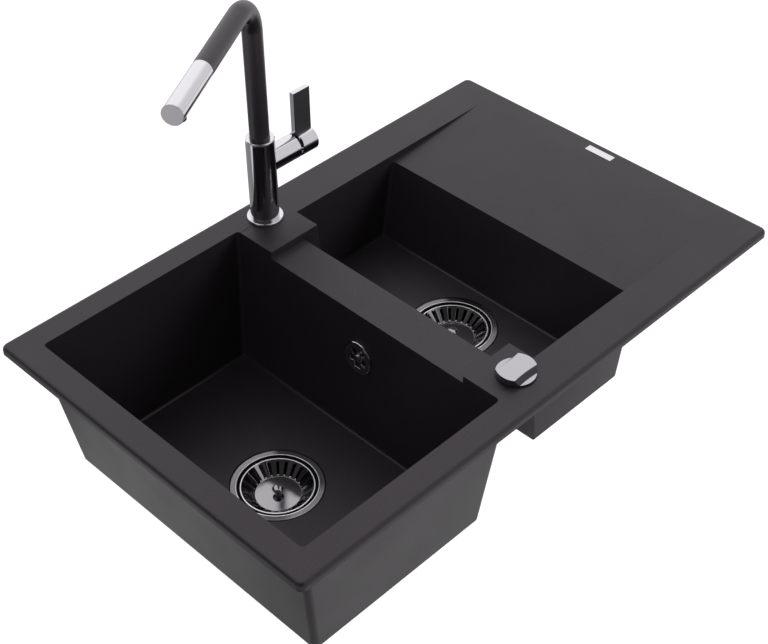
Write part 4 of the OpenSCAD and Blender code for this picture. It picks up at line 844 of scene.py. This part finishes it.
def make_beads(size):
    """The rolled, polished edges that close the flange's ring inside and the basket's rim, near-white as a
    painted highlight.
    """
    axis = line_axis(WASTES[size])
    make_bead("flange_bead_" + size, "waste_flanges", axis, *FLANGE_BEAD)
    make_bead("basket_bead_" + size, "basket_" + size, axis, *BASKET_BEAD)


def wall_spot(share):
    """A corner on the basket's straight wall, at that share of the way down."""
    top, low = np.array([BASKET_MOUTH_R, BASKET_TOP]), np.array([BASKET_LOW_R, BASKET_FLOOR])
    return (*(top + share * (low - top)), 0)


def domed_floor():
    """The basket's floor, pressed up a little: it lies FLOOR_RISE (1 - (r / BASKET_LOW_R)^2) above its
    edge."""
    radii = np.linspace(BASKET_LOW_R - 1, 0, 12)
    return [(r, BASKET_FLOOR + FLOOR_RISE * (1 - (r / BASKET_LOW_R)**2), 0) for r in radii]


def make_basket(size):
    """Bowl-shaped sheet from its rolled rim down the slotted wall to the floor, thickened downwards,
    and a turned grip in the middle."""
    node = "basket_" + size
    rim = [(BASKET_R, BASKET_TOP - 1.1, 0), (BASKET_R, BASKET_TOP, 0.45), (BASKET_MOUTH_R, BASKET_TOP, 0.8)]
    slot = [wall_spot(SLOT_FROM), wall_spot(SLOT_TO)]
    foot = (*wall_spot(1)[:2], 0.6)
    outline = rounded_outline([*rim, *slot, foot, *domed_floor()])
    slot_row = np.argmin(np.abs(outline[:, 1] - slot[0][1]))

    def kept(row, column):
        return (row != slot_row) | (column % CELLS >= OPEN_CELLS)
    axis = line_axis(WASTES[size])
    sheet = grid(turned(outline, axis, SLOTS * CELLS), kept=kept)
    basket = grid_piece(node + "_strainer", [sheet], node, [node])
    wall = basket.modifiers.new("sheet", "SOLIDIFY")
    wall.thickness = SHEET * MM
    wall.offset = -1
    # The sheet gets its thickness before its shading is evened
    basket.modifiers.move(1, 0)
    low = BASKET_FLOOR + 0.2
    grip = rounded_outline([(0, low, 0), (4.6, low, 0), (3.2, BASKET_FLOOR + 1.8, 1.0), (3.2, -8.9, 1.2),
                            (7, -7.9, 0.5), (7, -5.8, 1.2), (4.6, -4.1, 2.0), (0, -3.9, 0)])
    grid_piece(node + "_grip", [grid(turned(grip, axis, 48))], node)


def make_seal(size):
    """Lip seal in the groove between the flange and the basket's rim, near-black as painted shade of the
    groove.
    """
    inner, outer, low, top = SEAL
    outline = rounded_outline([(inner, low, 0.2), (outer, low, 0.2), (outer, top, 0.3), (inner, top, 0.3)])
    ring = grid(turned(outline, line_axis(WASTES[size])), closed=True)
    lip = grid_piece("waste_seal_" + size, [ring], "flange_gaskets")
    # Near-black: painted shade of the groove
    lip.data.materials[0] = MATERIALS["lip"]


# Under the bowls: the trap's ribbed cup and the pop-up cable

TRAP_AT = WASTES["small"][:2]
CUP_LOW = -394.0
CUP_H = 62.0
CUP_R = 34.0
CUP_WALL = 2.4
GRIP_R = 37.0
GRIP_H = 10.0
GRIP_RIBS = 36
GRIP_RIB = 0.45


def make_trap_cup():
    """Cup turned round its axis. Its grip ring's radius shrinks by GRIP_RIB (1 - cos(n a)) into n ribs."""
    grip_low, bore = CUP_H - GRIP_H, CUP_R - CUP_WALL
    outline = rounded_outline([(0, 0, 0), (CUP_R, 0, 4), (CUP_R, grip_low, 0.4), (GRIP_R, grip_low, 0.8),
                               (GRIP_R, CUP_H, 0.8), (bore, CUP_H, 0.4), (bore, CUP_WALL, 3),
                               (0, CUP_WALL, 0)])

    def ribs(angle, radius, s):
        return np.where(radius > CUP_R + 1, GRIP_RIB * (np.cos(GRIP_RIBS * angle) - 1), 0 * angle)
    cup = turned(outline, line_axis((*TRAP_AT, CUP_LOW)), 6 * GRIP_RIBS, ribs)
    grid_piece("trap_cup_ribbed", [grid(cup)], "trap_cup", ["trap_cup"])


CABLE_R = 2.6
CABLE_POINTS = np.array([
    (-20.6, -191.65, -27.5), (-20.6, -191.65, -38), (-21.6, -187.65, -50.24), (-24.455, -176.57, -64.01),
    (-29.595, -150.22, -90.02), (-36.02, -123.87, -122.15), (-46.3, -102.79, -155.81),
    (-57.3, -92.25, -186.41), (-74.3, -88.25, -208), (-98.3, -76.25, -228), (-125.1, -58.53, -238),
    (-140.42, -45.67, -238), (-155.43, -33.07, -238), (-159.26, -29.86, -238)])
CABLE_STEPS = 8
CABLE_SIDES = 20
# A way that the route never takes, to set the rings' sides square to it
CABLE_HINT = (0.31, 0.86, 0.4)


def smooth_path(points, steps):
    """Cubics through the points: at share t between b and c, with neighbours a and d, half of
    2b + (c - a) t + (2a - 5b + 4c - d) t^2 + (3b - a - 3c + d) t^3."""
    padded = np.concatenate([points[:1], points, points[-1:]])
    a, b, c, d = (padded[i:len(padded) - 3 + i, None] for i in range(4))
    t = (np.arange(steps) / steps)[:, None]
    curve = 0.5 * (2 * b + (c - a) * t + (2 * a - 5 * b + 4 * c - d) * t**2 + (3 * b - a - 3 * c + d) * t**3)
    return np.concatenate([curve.reshape(-1, 3), points[-1:]])


def make_cable():
    """Round sheath along the route: rings square to it, closed at both ends."""
    path = smooth_path(CABLE_POINTS, CABLE_STEPS)
    way = np.gradient(path, axis=0)
    way /= np.linalg.norm(way, axis=1)[:, None]
    u = np.cross(CABLE_HINT, way)
    u /= np.linalg.norm(u, axis=1)[:, None]
    v = np.cross(way, u)
    rows = np.arange(len(path))

    def place(s):
        row = s.astype(int)
        return path[row], u[row], v[row]
    radii = np.concatenate([[0], np.full(len(rows), CABLE_R), [0]])
    outline = np.stack([radii, np.concatenate([rows[:1], rows, rows[-1:]])], axis=-1)
    sheath = grid(turned(outline, place, CABLE_SIDES))
    piece = grid_piece("popup_cable_sheath", [sheath], "popup_cable", ["popup_cable"])


make_camera()
make_cable()
make_world()
make_floor()
make_lamps()
dress_frame()
make_basin()
make_rounded()
make_spout()
make_end_cap()
make_nozzle()
make_hose()
make_knob()
make_flanges()
for size in WASTES:
    make_basket(size)
    make_seal(size)
    make_beads(size)
make_trap_cup()

bpy.context.scene.view_settings.view_transform = "Standard"
